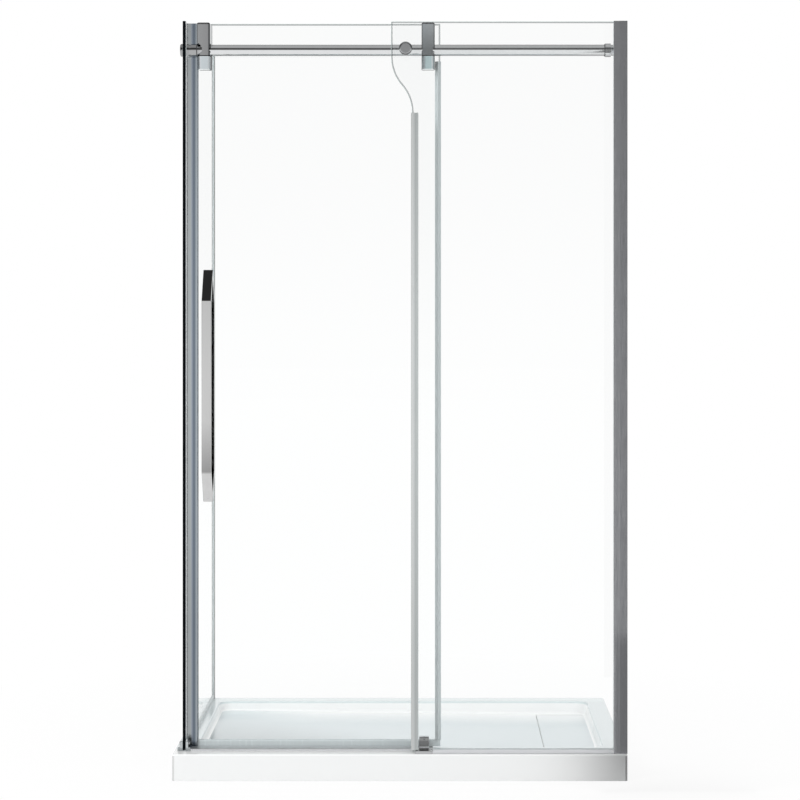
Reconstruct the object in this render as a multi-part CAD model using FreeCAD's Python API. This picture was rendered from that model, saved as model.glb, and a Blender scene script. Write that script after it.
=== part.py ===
import FreeCAD, Part
import math
import os

# Sliding corner shower door on its own tray, in millimetres.
# +X runs right along the doorway, +Y into the shower, +Z up.
# The origin is the middle of the tray's underside.

# Overall sizes
TRAY_WIDTH = 1200.0
TRAY_DEPTH = 800.0
TRAY_HEIGHT = 70.0
OVERALL_HEIGHT = 2006.0
GLASS_THICKNESS = 8.0
GLASS_ARRIS = 0.8

# Tray shell
TRAY_CORNER = 8.0
TRAY_EDGE = 5.0
SHELL_WALL = 5.0
SIDE_RIM = 55.0
FRONT_RIM = 95.0
BACK_RIM = 55.0
BASIN_CORNER = 38.0
BASIN_DRAFT = 7.0
BASIN_FLOOR_HIGH = 44.0
BASIN_FLOOR_LOW = 34.0
BASIN_FOOT_ROUND = 9.0
RIM_ROUND = 3.0
BLOCK_COLUMNS = 5
BLOCK_ROWS = 3
BLOCK_WIDTH = 96.0
BLOCK_DEPTH = 130.0
BLOCK_FIELD_MARGIN = 30.0

# Drain channel, waste and cover
COVER_WIDTH = 146.0
COVER_END_MARGIN = 20.0
COVER_CORNER = 8.0
COVER_THICKNESS = 5.0
COVER_GAP = 1.5
COVER_PAD_RADIUS = 5.0
COVER_PAD_HEIGHT = 1.0
COVER_PAD_END_DISTANCE = 24.0
COVER_LEDGE = 12.0
FINGER_NOTCH_RADIUS = 11.0
CHANNEL_DEPTH = 12.0
DRAIN_BORE_RADIUS = 30.3
DRAIN_TAIL_RADIUS = 40.0
DRAIN_FLANGE_RADIUS = 52.0
DRAIN_FLANGE_THICKNESS = 3.0
DRAIN_SEAL_THICKNESS = 1.5
DRAIN_NUT_RADIUS = 54.0
DRAIN_NUT_THICKNESS = 6.0
DRAIN_NUT_NOTCHES = 8
DRAIN_TAIL_CLEARANCE = 2.0
STRAINER_THICKNESS = 2.0
STRAINER_RADIUS = 45.0
STRAINER_HOLE_RADIUS = 3.0
STRAINER_RING_PITCH = 11.0
STRAINER_RINGS = 3
HOLES_IN_FIRST_RING = 6

# Return glass on the left
RETURN_INSET = 23.5
RETURN_FRONT_SETBACK = 44.0
RETURN_FOOT_GAP = 2.0
WALL_CHANNEL_WIDTH = 16.0
WALL_CHANNEL_DEPTH = 20.0
WALL_CHANNEL_LEG = 1.6
WALL_CHANNEL_WEB = 2.0
WALL_CHANNEL_GLASS_GAP = 4.0
SEAL_LEG = 3.0
SEAL_HEIGHT = 14.0
CLAMP_WIDTH = 34.0
CLAMP_LENGTH = 30.0
CLAMP_BASE_HEIGHT = 10.0
CLAMP_JAW_HEIGHT = 26.0
CLAMP_JAW_THICKNESS = 6.2
CLAMP_PAD_THICKNESS = 0.5
CLAMP_EDGE = 1.5
CLAMP_FRONT_OVERHANG = 2.0
CLAMP_SCREW_RADIUS = 3.0
CLAMP_SCREW_HEAD_RADIUS = 5.0
CLAMP_SCREW_HEAD_HEIGHT = 3.0

# Strike channel that the door closes into
STRIKE_TAPE = 1.0
STRIKE_WIDTH = 26.5
STRIKE_DEPTH = 27.0
STRIKE_WALL = 2.0
STRIKE_TOP_DROP = 2.0
STRIKE_TO_RAIL = 2.5
BUMPER_BASE = 4.0
BUMPER_LIP_REACH = 14.0
BUMPER_LIP_CLEARANCE = 0.7

# Fixed glass, its wall jamb and its trim
FIXED_SETBACK = 15.0
FIXED_TOP_DROP = 5.0
FIXED_WIDTH = 556.4
EAR_WIDTH = 55.4
EAR_BELOW_RAIL = 23.0
EAR_CURVE_HEIGHT = 147.0
EAR_TOP_ROUND = 3.0
JAMB_WIDTH = 36.0
JAMB_DEPTH = 22.0
JAMB_TOP_DROP = 4.0
JAMB_WALL_LEG_LENGTH = 22.0
JAMB_LEG = 1.8
JAMB_WEB = 2.0
INNER_JAMB_LENGTH = 28.0
INNER_JAMB_LEG = 1.6
INNER_JAMB_FIT = 0.1
JAMB_GLASS_GAP = 2.0
JAMB_GASKET_DEPTH = 14.0
JAMB_SCREW_COUNT = 3
JAMB_SCREW_RADIUS = 2.0
JAMB_SCREW_HEAD_RADIUS = 4.0
JAMB_SCREW_HEAD_HEIGHT = 2.4
JAMB_SCREW_END_DISTANCE = 230.0
JAMB_SCREW_FROM_WALL = 15.0
WALL_HOLE_COUNT = 4
WALL_HOLE_RADIUS = 2.6
WALL_HOLE_END_DISTANCE = 120.0
FIXED_FOOT_GAP = 5.0
SILL_CHANNEL_DEPTH = 20.0
SILL_CHANNEL_HEIGHT = 11.0
SILL_CHANNEL_LEG = 1.8
SILL_CHANNEL_WEB = 2.0
EDGE_TRIM_WIDTH = 19.2
EDGE_TRIM_DEPTH = 13.0
EDGE_TRIM_WEB = 2.0
EDGE_TRIM_BOND = 0.6
SPLASH_FIN_LENGTH = 32.0
SPLASH_FIN_THICKNESS = 1.6
SPLASH_FIN_ROOT = 7.0

# Rail and its fixings
RAIL_BELOW_TOP = 76.0
RAIL_RADIUS = 15.0
RAIL_WALL = 2.0
RAIL_STANDOFF = 43.0
RAIL_TO_DOOR = 27.0
SOCKET_RADIUS = 16.5
SOCKET_THICKNESS = 6.0
SPIGOT_LENGTH = 30.0
SPIGOT_FIT = 0.05
FITTING_GASKET = 1.0
FITTING_GASKET_INSET = 3.0
CAP_RADIUS = 17.0
CAP_THICKNESS = 7.0
CAP_ROUND = 3.0
CAP_BOLT_RADIUS = 4.0
CAP_BOLT_HEAD_RADIUS = 6.5
CAP_BOLT_HEAD_HEIGHT = 4.0
GLASS_HOLE_RADIUS = 6.0
WALL_FLANGE_RADIUS = 25.0
WALL_FLANGE_THICKNESS = 6.0
WALL_FLANGE_EDGE = 1.5
WALL_FLANGE_HOLE_PCD = 38.0
WALL_FLANGE_HOLE_RADIUS = 2.6
WALL_FLANGE_HOLES = 3
RAIL_NECK_LENGTH = 34.0
RAIL_NECK_RADIUS = 14.5
STOP_RADII = {"left": 16.5, "right": 18.0}
STOP_WIDTH = 15.0
STOP_PAD_THICKNESS = 2.0
STOP_SCREW_RADIUS = 2.0
KNOB_FROM_EAR = 38.4
KNOB_RADIUS = 17.5
KNOB_THICKNESS = 8.0
KNOB_ROUND = 4.5
STANDOFF_RADIUS = 11.0
STANDOFF_STUD_RADIUS = 4.0
STANDOFF_STUD_REACH = 5.0

# Sliding glass and its seals
DOOR_OVERLAP = 75.1
DOOR_TOP_DROP = 2.0
DOOR_FOOT_GAP = 10.2
CLOSING_GAP = 0.3
NOSE_RADIUS = 3.0
NOSE_SEAL_LEG = 1.3
NOSE_SEAL_COVER = 10.0
SWEEP_DEPTH = 12.0
SWEEP_HEIGHT = 13.0
SWEEP_ABOVE_TRAY = 7.0
SWEEP_FIN_THICKNESS = 1.0
SWEEP_FIN_CLEARANCE = 0.4
TRAIL_SEAL_WIDTH = 16.0
TRAIL_SEAL_LEG = 1.6
TRAIL_SEAL_WEB = 1.8
TRAIL_SEAL_BELOW_RAIL = 12.0
SEAL_TO_SWEEP = 0.5

# Roller hangers
HANGER_EDGE_DISTANCE = 32.5
HANGER_WIDTH = 35.0
HANGER_TOP_DROP = 4.0
HANGER_BELOW_RAIL = 35.0
HANGER_FRONT_REACH = 25.0
HANGER_FRONT_WALL = 5.0
HANGER_BACK_WALL = 6.0
HANGER_SIDE_WALL = 2.0
HANGER_TOP_WALL = 12.0
HANGER_RAIL_CLEARANCE = 1.5
HANGER_EDGE_ROUND = 4.0
HANGER_TOP_ROUND = 5.0
NECK_NOTCH_RADIUS = 18.5
# How deep the front plate is notched beside the rail, on its left and on its right
NECK_NOTCH_DEPTHS = {"left": (14.0, 2.5), "right": (2.2, 5.0)}
PAD_THICKNESS = 2.0
CLAMP_PLATE_THICKNESS = 4.0
PLATE_EDGE = 1.0
HANGER_BOLT_RADIUS = 3.0
HANGER_BOLT_HEAD_RADIUS = 7.0
HANGER_BOLT_HEAD_HEIGHT = 4.0
HANGER_BOLT_END_DISTANCE = 18.0
DOOR_HOLE_RADIUS = 5.0
CLAMP_PLATE_CORNER = 3.0
KEEPER_SIDE_INSET = 1.5
KEEPER_DEPTH = 35.0
KEEPER_SLOPE = 6.0
KEEPER_CHAMFER = 5.0
KEEPER_CLEARANCE = 1.5
KEEPER_SCREW_RADIUS = 2.5
KEEPER_SCREW_HEAD_RADIUS = 4.0
KEEPER_SCREW_LENGTH = 18.0
KEEPER_SCREW_HEIGHT = 26.25
KEEPER_SCREW_SPACING = 17.5

# Grooved rollers
ROLLER_RADIUS = 15.0
ROLLER_ROOT_RADIUS = 10.0
ROLLER_WIDTH = 28.6
ROLLER_RAIL_GAP = 0.3
BEARING_RADIUS = 8.0
BEARING_WIDTH = 8.0
BEARING_FIT = 0.05
AXLE_RADIUS = 4.0
AXLE_COLLAR_RADIUS = 6.0
AXLE_COLLAR_CLEARANCE = 0.15
AXLE_SEAT_DEPTH = 3.0

# Pull handle, one outside and one inside
HANDLE_EDGE_DISTANCE = 40.0
HANDLE_WIDTH = 25.0
HANDLE_LENGTH = 620.0
HANDLE_TOP_ABOVE_TRAY = 1276.0
HANDLE_REACH = 50.0
HANDLE_SLOPE_HEIGHT = 84.0
HANDLE_BAR = 12.0
HANDLE_ROUND = 1.2
HANDLE_WASHER = 1.0
HANDLE_STUD_RADIUS = 4.0
HANDLE_STUD_DEPTH = 6.0
HANDLE_STUD_FIT = 0.05

# Threshold and bottom guide
THRESHOLD_SETBACK = 42.0
THRESHOLD_BAR = 36.0
THRESHOLD_HEIGHT = 6.0
THRESHOLD_FLOOR = 2.5
THRESHOLD_BACK_LIP = 2.0
THRESHOLD_END_GAP = 0.3
THRESHOLD_ROUND = 1.5
GUIDE_FROM_FIXED_EDGE = 8.0
GUIDE_WIDTH = 47.0
GUIDE_FRONT_OVERHANG = 9.0
GUIDE_BASE_HEIGHT = 8.0
GUIDE_BASE_FLOOR = 2.5
GUIDE_BLOCK_WIDTH = 26.0
GUIDE_BLOCK_FRONT = 35.0
GUIDE_BLOCK_BACK = 12.0
GUIDE_BLOCK_HEIGHT = 25.0
GUIDE_CLEARANCE = 0.8
GUIDE_EDGE = 1.2
GUIDE_SCREW_RADIUS = 2.0
GUIDE_SCREW_HEAD_RADIUS = 4.0
GUIDE_SCREW_HEAD_HEIGHT = 2.0
GUIDE_SCREW_SINK = 5.0

# Screw heads, as shares of the head's own height and radius
SCREW_HEAD_ROUND_SHARE = 0.33
SCREW_SOCKET_DEPTH_SHARE = 0.5
SCREW_SOCKET_WIDTH_SHARE = 0.5
SCREW_SOCKET_SIDES = 6

# How far a cutting tool runs past the face that it opens
OVERRUN = 1.0
# How close two places are to count as the same one
SAME_PLACE = 0.0008
SAME_LEVEL = 0.08
SAME_DIRECTION_SHARE = 1e-4

V = FreeCAD.Vector
AXES = {"x": V(1, 0, 0), "y": V(0, 1, 0), "z": V(0, 0, 1)}

# Places along X
LEFT = -TRAY_WIDTH / 2
RIGHT = TRAY_WIDTH / 2
RETURN_OUTER = LEFT + RETURN_INSET
RETURN_INNER = RETURN_OUTER + GLASS_THICKNESS
STRIKE_BACK = RETURN_INNER + STRIKE_TAPE
STRIKE_MOUTH = STRIKE_BACK + STRIKE_WIDTH
BUMPER_FACE = STRIKE_BACK + STRIKE_WALL + BUMPER_BASE
NOSE_TIP = BUMPER_FACE + CLOSING_GAP
DOOR_LEFT = NOSE_TIP + 2 * NOSE_RADIUS + NOSE_SEAL_LEG
JAMB_LEFT = RIGHT - JAMB_WIDTH
INNER_JAMB_WEB_FACE = JAMB_LEFT + INNER_JAMB_LENGTH - INNER_JAMB_LEG
FIXED_RIGHT = INNER_JAMB_WEB_FACE - JAMB_GLASS_GAP
FIXED_LEFT = FIXED_RIGHT - FIXED_WIDTH
DOOR_RIGHT = FIXED_LEFT + DOOR_OVERLAP
EAR_LEFT = FIXED_LEFT - EAR_WIDTH
KNOB_X = EAR_LEFT + KNOB_FROM_EAR
GUIDE_LEFT = FIXED_LEFT + GUIDE_FROM_FIXED_EDGE
GUIDE_RIGHT = GUIDE_LEFT + GUIDE_WIDTH
GUIDE_MIDDLE = (GUIDE_LEFT + GUIDE_RIGHT) / 2
HANGERS = {"left": DOOR_LEFT + HANGER_EDGE_DISTANCE, "right": DOOR_RIGHT - HANGER_EDGE_DISTANCE}
HANDLE_X = DOOR_LEFT + HANDLE_EDGE_DISTANCE
RAIL_START = RETURN_INNER + FITTING_GASKET + SOCKET_THICKNESS
RAIL_END = RIGHT - WALL_FLANGE_THICKNESS - RAIL_NECK_LENGTH
BASIN_LEFT = LEFT + SIDE_RIM
BASIN_RIGHT = RIGHT - SIDE_RIM
COVER_RIGHT = BASIN_RIGHT - BASIN_DRAFT
COVER_LEFT = COVER_RIGHT - COVER_WIDTH
CHANNEL_X = (COVER_LEFT + COVER_LEDGE, COVER_RIGHT - COVER_LEDGE)

# Places along Y
FRONT = -TRAY_DEPTH / 2
BACK = TRAY_DEPTH / 2
RETURN_FRONT = FRONT + RETURN_FRONT_SETBACK
RETURN_BACK = BACK - WALL_CHANNEL_GLASS_GAP
FIXED_FRONT = FRONT + FIXED_SETBACK
FIXED_BACK = FIXED_FRONT + GLASS_THICKNESS
FIXED_MIDDLE = (FIXED_FRONT + FIXED_BACK) / 2
RAIL_Y = FIXED_BACK + RAIL_STANDOFF
DOOR_FRONT = RAIL_Y + RAIL_TO_DOOR
DOOR_BACK = DOOR_FRONT + GLASS_THICKNESS
DOOR_MIDDLE = (DOOR_FRONT + DOOR_BACK) / 2
STRIKE_FRONT = RAIL_Y + RAIL_RADIUS + STRIKE_TO_RAIL
STRIKE_REAR = STRIKE_FRONT + STRIKE_DEPTH
BASIN_FRONT = FRONT + FRONT_RIM
BASIN_BACK = BACK - BACK_RIM
COVER_FRONT = BASIN_FRONT + BASIN_DRAFT + COVER_END_MARGIN
COVER_BACK = BASIN_BACK - BASIN_DRAFT - COVER_END_MARGIN
COVER_MIDDLE_X = (COVER_LEFT + COVER_RIGHT) / 2
COVER_MIDDLE_Y = (COVER_FRONT + COVER_BACK) / 2
CHANNEL_Y = (COVER_FRONT + COVER_LEDGE, COVER_BACK - COVER_LEDGE)

# Places along Z
COVER_SEAT = BASIN_FLOOR_LOW - COVER_THICKNESS - COVER_PAD_HEIGHT
CHANNEL_FLOOR = COVER_SEAT - CHANNEL_DEPTH
RAIL_Z = OVERALL_HEIGHT - RAIL_BELOW_TOP
RETURN_FOOT = TRAY_HEIGHT + RETURN_FOOT_GAP
FIXED_FOOT = TRAY_HEIGHT + FIXED_FOOT_GAP
FIXED_TOP = OVERALL_HEIGHT - FIXED_TOP_DROP
DOOR_FOOT = TRAY_HEIGHT + DOOR_FOOT_GAP
DOOR_TOP = OVERALL_HEIGHT - DOOR_TOP_DROP
JAMB_TOP = OVERALL_HEIGHT - JAMB_TOP_DROP
STRIKE_TOP = OVERALL_HEIGHT - STRIKE_TOP_DROP
HANGER_TOP = OVERALL_HEIGHT - HANGER_TOP_DROP
SWEEP_FOOT = TRAY_HEIGHT + SWEEP_ABOVE_TRAY
SWEEP_TOP = SWEEP_FOOT + SWEEP_HEIGHT
HANDLE_TOP = TRAY_HEIGHT + HANDLE_TOP_ABOVE_TRAY
HANDLE_FOOT = HANDLE_TOP - HANDLE_LENGTH
GUIDE_TOP = TRAY_HEIGHT + GUIDE_BASE_HEIGHT
CURVE_TOP = RAIL_Z - EAR_BELOW_RAIL
CURVE_FOOT = CURVE_TOP - EAR_CURVE_HEIGHT
HANGER_FOOT = RAIL_Z - RAIL_RADIUS - HANGER_BELOW_RAIL

# Places inside a hanger, front to back
HANGER_FRONT = RAIL_Y - HANGER_FRONT_REACH
HANGER_BACK = DOOR_FRONT - PAD_THICKNESS
HANGER_PLATE_FRONT = HANGER_BACK - HANGER_BACK_WALL
CLAMP_PLATE_FRONT = DOOR_BACK + PAD_THICKNESS
CLAMP_PLATE_BACK = CLAMP_PLATE_FRONT + CLAMP_PLATE_THICKNESS
ROLLER_Z = RAIL_Z + RAIL_RADIUS + ROLLER_RAIL_GAP + ROLLER_ROOT_RADIUS
HANGER_BOLT_HEIGHTS = (HANGER_FOOT + HANGER_BOLT_END_DISTANCE, HANGER_TOP - HANGER_BOLT_END_DISTANCE)


def block(x, y, z):
    """A box between two places along each axis."""
    return Part.makeBox(x[1] - x[0], y[1] - y[0], z[1] - z[0], V(x[0], y[0], z[0]))


def around(middle, size):
    """The two places half a size either side of a middle."""
    return (middle - size / 2, middle + size / 2)


def rod(axis, radius, span, u, v):
    """A round bar along an axis, with its other two places in X, Y, Z order."""
    places = {"x": V(span[0], u, v), "y": V(u, span[0], v), "z": V(u, v, span[0])}
    return Part.makeCylinder(radius, span[1] - span[0], places[axis], AXES[axis])


def ring(axis, outer, inner, span, u, v):
    """A round bar with a hole right through it."""
    return rod(axis, outer, span, u, v).cut(rod(axis, inner, span, u, v))


def join(pieces):
    """One solid from pieces that touch or overlap."""
    return pieces[0].fuse(pieces[1:]).removeSplitter()


def group(pieces):
    """Separate solids kept together as one sub-part."""
    return Part.makeCompound(pieces)


def same(a, b):
    return abs(a - b) < SAME_PLACE


def edges_along(shape, axis):
    """The straight edges that run along an axis."""
    picked = []
    for edge in shape.Edges:
        if isinstance(edge.Curve, Part.Line):
            direction = edge.tangentAt(edge.FirstParameter)
            if 1 - abs(direction.dot(AXES[axis])) < SAME_DIRECTION_SHARE:
                picked.append(edge)
    return picked


def edges_at(shape, axis, place):
    """The edges that lie wholly at one place along an axis."""
    picked = []
    for edge in shape.Edges:
        box = edge.BoundBox
        low = {"x": box.XMin, "y": box.YMin, "z": box.ZMin}[axis]
        high = {"x": box.XMax, "y": box.YMax, "z": box.ZMax}[axis]
        if abs(low - place) < SAME_LEVEL and abs(high - place) < SAME_LEVEL:
            picked.append(edge)
    return picked


def prism(points, axis, span):
    """A straight solid from an outline of (u, v) points across an axis."""
    corners = []
    for u, v in points:
        corners.append({"x": V(span[0], u, v), "y": V(u, span[0], v), "z": V(u, v, span[0])}[axis])
    face = Part.Face(Part.makePolygon(corners + corners[:1]))
    return face.extrude(AXES[axis] * (span[1] - span[0]))


def rounded_block(x, y, z, radius):
    """A box with its four upright edges rounded."""
    solid = block(x, y, z)
    return solid.makeFillet(radius, edges_along(solid, "z"))


def rounded_outline(x, y, level, radius):
    """The outline of a rounded rectangle at one height."""
    slab = rounded_block(x, y, (level, level + radius), radius)
    for face in slab.Faces:
        if same(face.BoundBox.ZMax, level):
            return face.OuterWire


def screw(axis, u, v, head_place, head_side, head_radius, head_height, shank_radius, length):
    """A round-headed screw whose head stands on head_side (+1 or -1) of head_place."""
    head_end = head_place + head_side * head_height
    shank_end = head_place - head_side * length
    head_span = (min(head_place, head_end), max(head_place, head_end))
    shank_span = (min(head_place, shank_end), max(head_place, shank_end))
    head = rod(axis, head_radius, head_span, u, v)
    head = head.makeFillet(head_height * SCREW_HEAD_ROUND_SHARE, edges_at(head, axis, head_end))
    depth_end = head_end - head_side * head_height * SCREW_SOCKET_DEPTH_SHARE
    reach = head_radius * SCREW_SOCKET_WIDTH_SHARE
    socket_points = []
    for step in range(SCREW_SOCKET_SIDES):
        angle = math.tau * step / SCREW_SOCKET_SIDES
        socket_points.append((u + reach * math.cos(angle), v + reach * math.sin(angle)))
    socket_span = (min(head_end, depth_end), max(head_end, depth_end))
    socket = prism(socket_points, axis, socket_span)
    return join([head.cut(socket), rod(axis, shank_radius, shank_span, u, v)])


def glass_panel(x, y, z, holes):
    """A glass sheet with its arrises taken off and round holes drilled."""
    sheet = block(x, y, z)
    sheet = sheet.makeChamfer(GLASS_ARRIS, sheet.Edges)
    for hole in holes:
        sheet = sheet.cut(hole)
    return sheet


# Tray and drain

def floor_height(x):
    """Height of the basin floor, which falls towards the drain cover."""
    fall = BASIN_FLOOR_HIGH - BASIN_FLOOR_LOW
    return BASIN_FLOOR_LOW + fall * max(COVER_LEFT - x, 0) / (COVER_LEFT - BASIN_LEFT)


def basin_space(skin, foot_round):
    """The basin's hollow, made larger all round by a skin."""
    top_x = (BASIN_LEFT - skin, BASIN_RIGHT + skin)
    top_y = (BASIN_FRONT - skin, BASIN_BACK + skin)
    low_x = (top_x[0] + BASIN_DRAFT, top_x[1] - BASIN_DRAFT)
    low_y = (top_y[0] + BASIN_DRAFT, top_y[1] - BASIN_DRAFT)
    radius = BASIN_CORNER + skin
    foot = BASIN_FLOOR_LOW - skin
    top = rounded_outline(top_x, top_y, TRAY_HEIGHT, radius)
    bottom = rounded_outline(low_x, low_y, foot, radius - BASIN_DRAFT)
    space = Part.makeLoft([top, bottom], True, True)
    rise = floor_height(top_x[0]) - BASIN_FLOOR_LOW
    ramp = [(top_x[0], foot), (COVER_LEFT, foot), (top_x[0], foot + rise)]
    space = space.cut(prism(ramp, "y", top_y))
    if foot_round:
        feet = []
        for edge in space.Edges:
            box = edge.BoundBox
            on_floor = box.ZMax < BASIN_FLOOR_HIGH + GLASS_ARRIS and box.ZMax - box.ZMin < rise * 2
            across = same(box.XMin, box.XMax) and same(box.XMin, COVER_LEFT)
            if on_floor and not across:
                feet.append(edge)
        space = space.makeFillet(foot_round, feet)
    return space


def drain_space(skin):
    """The recess for the cover and the water channel under it, with a skin."""
    corner = COVER_CORNER + skin
    recess_x = (COVER_LEFT - skin, COVER_RIGHT + skin)
    recess_y = (COVER_FRONT - skin, COVER_BACK + skin)
    recess = rounded_block(recess_x, recess_y, (COVER_SEAT - skin, BASIN_FLOOR_LOW + skin), corner)
    channel_x = (CHANNEL_X[0] - skin, CHANNEL_X[1] + skin)
    channel_y = (CHANNEL_Y[0] - skin, CHANNEL_Y[1] + skin)
    channel = rounded_block(channel_x, channel_y, (CHANNEL_FLOOR - skin, COVER_SEAT + skin), corner)
    return recess.fuse(channel)


def tray_shell():
    outer = rounded_block((LEFT, RIGHT), (FRONT, BACK), (0, TRAY_HEIGHT), TRAY_CORNER)
    outer = outer.makeFillet(TRAY_EDGE, edges_at(outer, "z", TRAY_HEIGHT))
    inside_x = (LEFT + SHELL_WALL, RIGHT - SHELL_WALL)
    inside_y = (FRONT + SHELL_WALL, BACK - SHELL_WALL)
    inside_z = (0, TRAY_HEIGHT - SHELL_WALL)
    underside = rounded_block(inside_x, inside_y, inside_z, TRAY_CORNER - SHELL_WALL / 2)
    underside = underside.cut(basin_space(SHELL_WALL, 0)).cut(drain_space(SHELL_WALL))
    hole = rod("z", DRAIN_TAIL_RADIUS + DRAIN_TAIL_CLEARANCE, (0, CHANNEL_FLOOR + OVERRUN),
               COVER_MIDDLE_X, COVER_MIDDLE_Y)
    shell = outer.cut(basin_space(0, BASIN_FOOT_ROUND)).cut(drain_space(0)).cut(underside).cut(hole)
    rim = []
    for edge in edges_at(shell, "z", TRAY_HEIGHT):
        box = edge.BoundBox
        beside = box.XMin > BASIN_LEFT - GLASS_ARRIS and box.XMax < BASIN_RIGHT + GLASS_ARRIS
        if beside and box.YMin > BASIN_FRONT - GLASS_ARRIS and box.YMax < BASIN_BACK + GLASS_ARRIS:
            rim.append(edge)
    return shell.makeFillet(RIM_ROUND, rim)


def support_blocks():
    """Foam blocks bonded under the floor, each cut to the floor's fall."""
    margin = BASIN_DRAFT + BLOCK_FIELD_MARGIN
    field_x = (BASIN_LEFT + margin, COVER_LEFT - SHELL_WALL - BLOCK_FIELD_MARGIN)
    field_y = (BASIN_FRONT + margin, BASIN_BACK - margin)
    step_x = (field_x[1] - field_x[0] - BLOCK_WIDTH) / (BLOCK_COLUMNS - 1)
    step_y = (field_y[1] - field_y[0] - BLOCK_DEPTH) / (BLOCK_ROWS - 1)
    blocks = []
    for column in range(BLOCK_COLUMNS):
        x0 = field_x[0] + column * step_x
        x1 = x0 + BLOCK_WIDTH
        heights = (floor_height(x0) - SHELL_WALL, floor_height(x1) - SHELL_WALL)
        side = [(x0, 0), (x1, 0), (x1, heights[1]), (x0, heights[0])]
        for row in range(BLOCK_ROWS):
            y0 = field_y[0] + row * step_y
            blocks.append(prism(side, "y", (y0, y0 + BLOCK_DEPTH)))
    return group(blocks)


def drain_ring(outer, inner, span):
    return ring("z", outer, inner, span, COVER_MIDDLE_X, COVER_MIDDLE_Y)


def drain_seal():
    span = (CHANNEL_FLOOR, CHANNEL_FLOOR + DRAIN_SEAL_THICKNESS)
    return drain_ring(DRAIN_FLANGE_RADIUS, DRAIN_TAIL_RADIUS, span)


def drain_body():
    seat = CHANNEL_FLOOR + DRAIN_SEAL_THICKNESS
    flange = drain_ring(DRAIN_FLANGE_RADIUS, DRAIN_BORE_RADIUS, (seat, seat + DRAIN_FLANGE_THICKNESS))
    tail = drain_ring(DRAIN_TAIL_RADIUS, DRAIN_BORE_RADIUS, (DRAIN_TAIL_CLEARANCE, seat))
    return join([flange, tail])


def drain_nut():
    top = CHANNEL_FLOOR - SHELL_WALL
    nut = drain_ring(DRAIN_NUT_RADIUS, DRAIN_TAIL_RADIUS, (top - DRAIN_NUT_THICKNESS, top))
    for step in range(DRAIN_NUT_NOTCHES):
        angle = math.tau * step / DRAIN_NUT_NOTCHES
        notch = rod("z", DRAIN_NUT_THICKNESS, (top - DRAIN_NUT_THICKNESS, top),
                    COVER_MIDDLE_X + DRAIN_NUT_RADIUS * math.cos(angle),
                    COVER_MIDDLE_Y + DRAIN_NUT_RADIUS * math.sin(angle))
        nut = nut.cut(notch)
    return nut


def drain_strainer():
    """A round plate with rings of holes, lying on the flange."""
    seat = CHANNEL_FLOOR + DRAIN_SEAL_THICKNESS + DRAIN_FLANGE_THICKNESS
    span = (seat, seat + STRAINER_THICKNESS)
    plate = rod("z", STRAINER_RADIUS, span, COVER_MIDDLE_X, COVER_MIDDLE_Y)
    holes = [rod("z", STRAINER_HOLE_RADIUS, span, COVER_MIDDLE_X, COVER_MIDDLE_Y)]
    for number in range(1, STRAINER_RINGS + 1):
        count = HOLES_IN_FIRST_RING * number
        for step in range(count):
            angle = math.tau * step / count
            holes.append(rod("z", STRAINER_HOLE_RADIUS, span,
                             COVER_MIDDLE_X + STRAINER_RING_PITCH * number * math.cos(angle),
                             COVER_MIDDLE_Y + STRAINER_RING_PITCH * number * math.sin(angle)))
    return plate.cut(group(holes))


def drain_cover():
    """The loose cover plate, with a finger notch at its front end."""
    x = (COVER_LEFT + COVER_GAP, COVER_RIGHT - COVER_GAP)
    y = (COVER_FRONT + COVER_GAP, COVER_BACK - COVER_GAP)
    z = (BASIN_FLOOR_LOW - COVER_THICKNESS, BASIN_FLOOR_LOW)
    plate = rounded_block(x, y, z, COVER_CORNER - COVER_GAP)
    plate = plate.makeChamfer(COVER_PAD_HEIGHT, edges_at(plate, "z", z[1]))
    return plate.cut(rod("z", FINGER_NOTCH_RADIUS, z, COVER_MIDDLE_X, y[0]))


def cover_pads():
    inset = COVER_LEDGE / 2 + COVER_GAP / 2
    ends = (COVER_FRONT + COVER_PAD_END_DISTANCE, COVER_BACK - COVER_PAD_END_DISTANCE)
    pads = []
    for x in (COVER_LEFT + inset, COVER_RIGHT - inset):
        for y in (ends[0], COVER_MIDDLE_Y, ends[1]):
            pads.append(rod("z", COVER_PAD_RADIUS, (COVER_SEAT, COVER_SEAT + COVER_PAD_HEIGHT), x, y))
    return group(pads)


# Return glass

def return_glass():
    x = (RETURN_OUTER, RETURN_INNER)
    hole = rod("x", GLASS_HOLE_RADIUS, x, RAIL_Y, RAIL_Z)
    return glass_panel(x, (RETURN_FRONT, RETURN_BACK), (RETURN_FOOT, OVERALL_HEIGHT), [hole])


def return_wall_channel():
    """The slim channel that fixes the return glass to the back wall."""
    x = around((RETURN_OUTER + RETURN_INNER) / 2, WALL_CHANNEL_WIDTH)
    y = (BACK - WALL_CHANNEL_DEPTH, BACK)
    z = (TRAY_HEIGHT, OVERALL_HEIGHT)
    slot_x = (x[0] + WALL_CHANNEL_LEG, x[1] - WALL_CHANNEL_LEG)
    channel = block(x, y, z).cut(block(slot_x, (y[0], y[1] - WALL_CHANNEL_WEB), z))
    for height in wall_hole_heights():
        channel = channel.cut(rod("y", WALL_HOLE_RADIUS, y, (x[0] + x[1]) / 2, height))
    return channel


def wall_hole_heights():
    """Heights of the screw holes in both upright wall channels."""
    first = TRAY_HEIGHT + WALL_HOLE_END_DISTANCE
    last = JAMB_TOP - WALL_HOLE_END_DISTANCE
    return [first + (last - first) * step / (WALL_HOLE_COUNT - 1) for step in range(WALL_HOLE_COUNT)]


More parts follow.
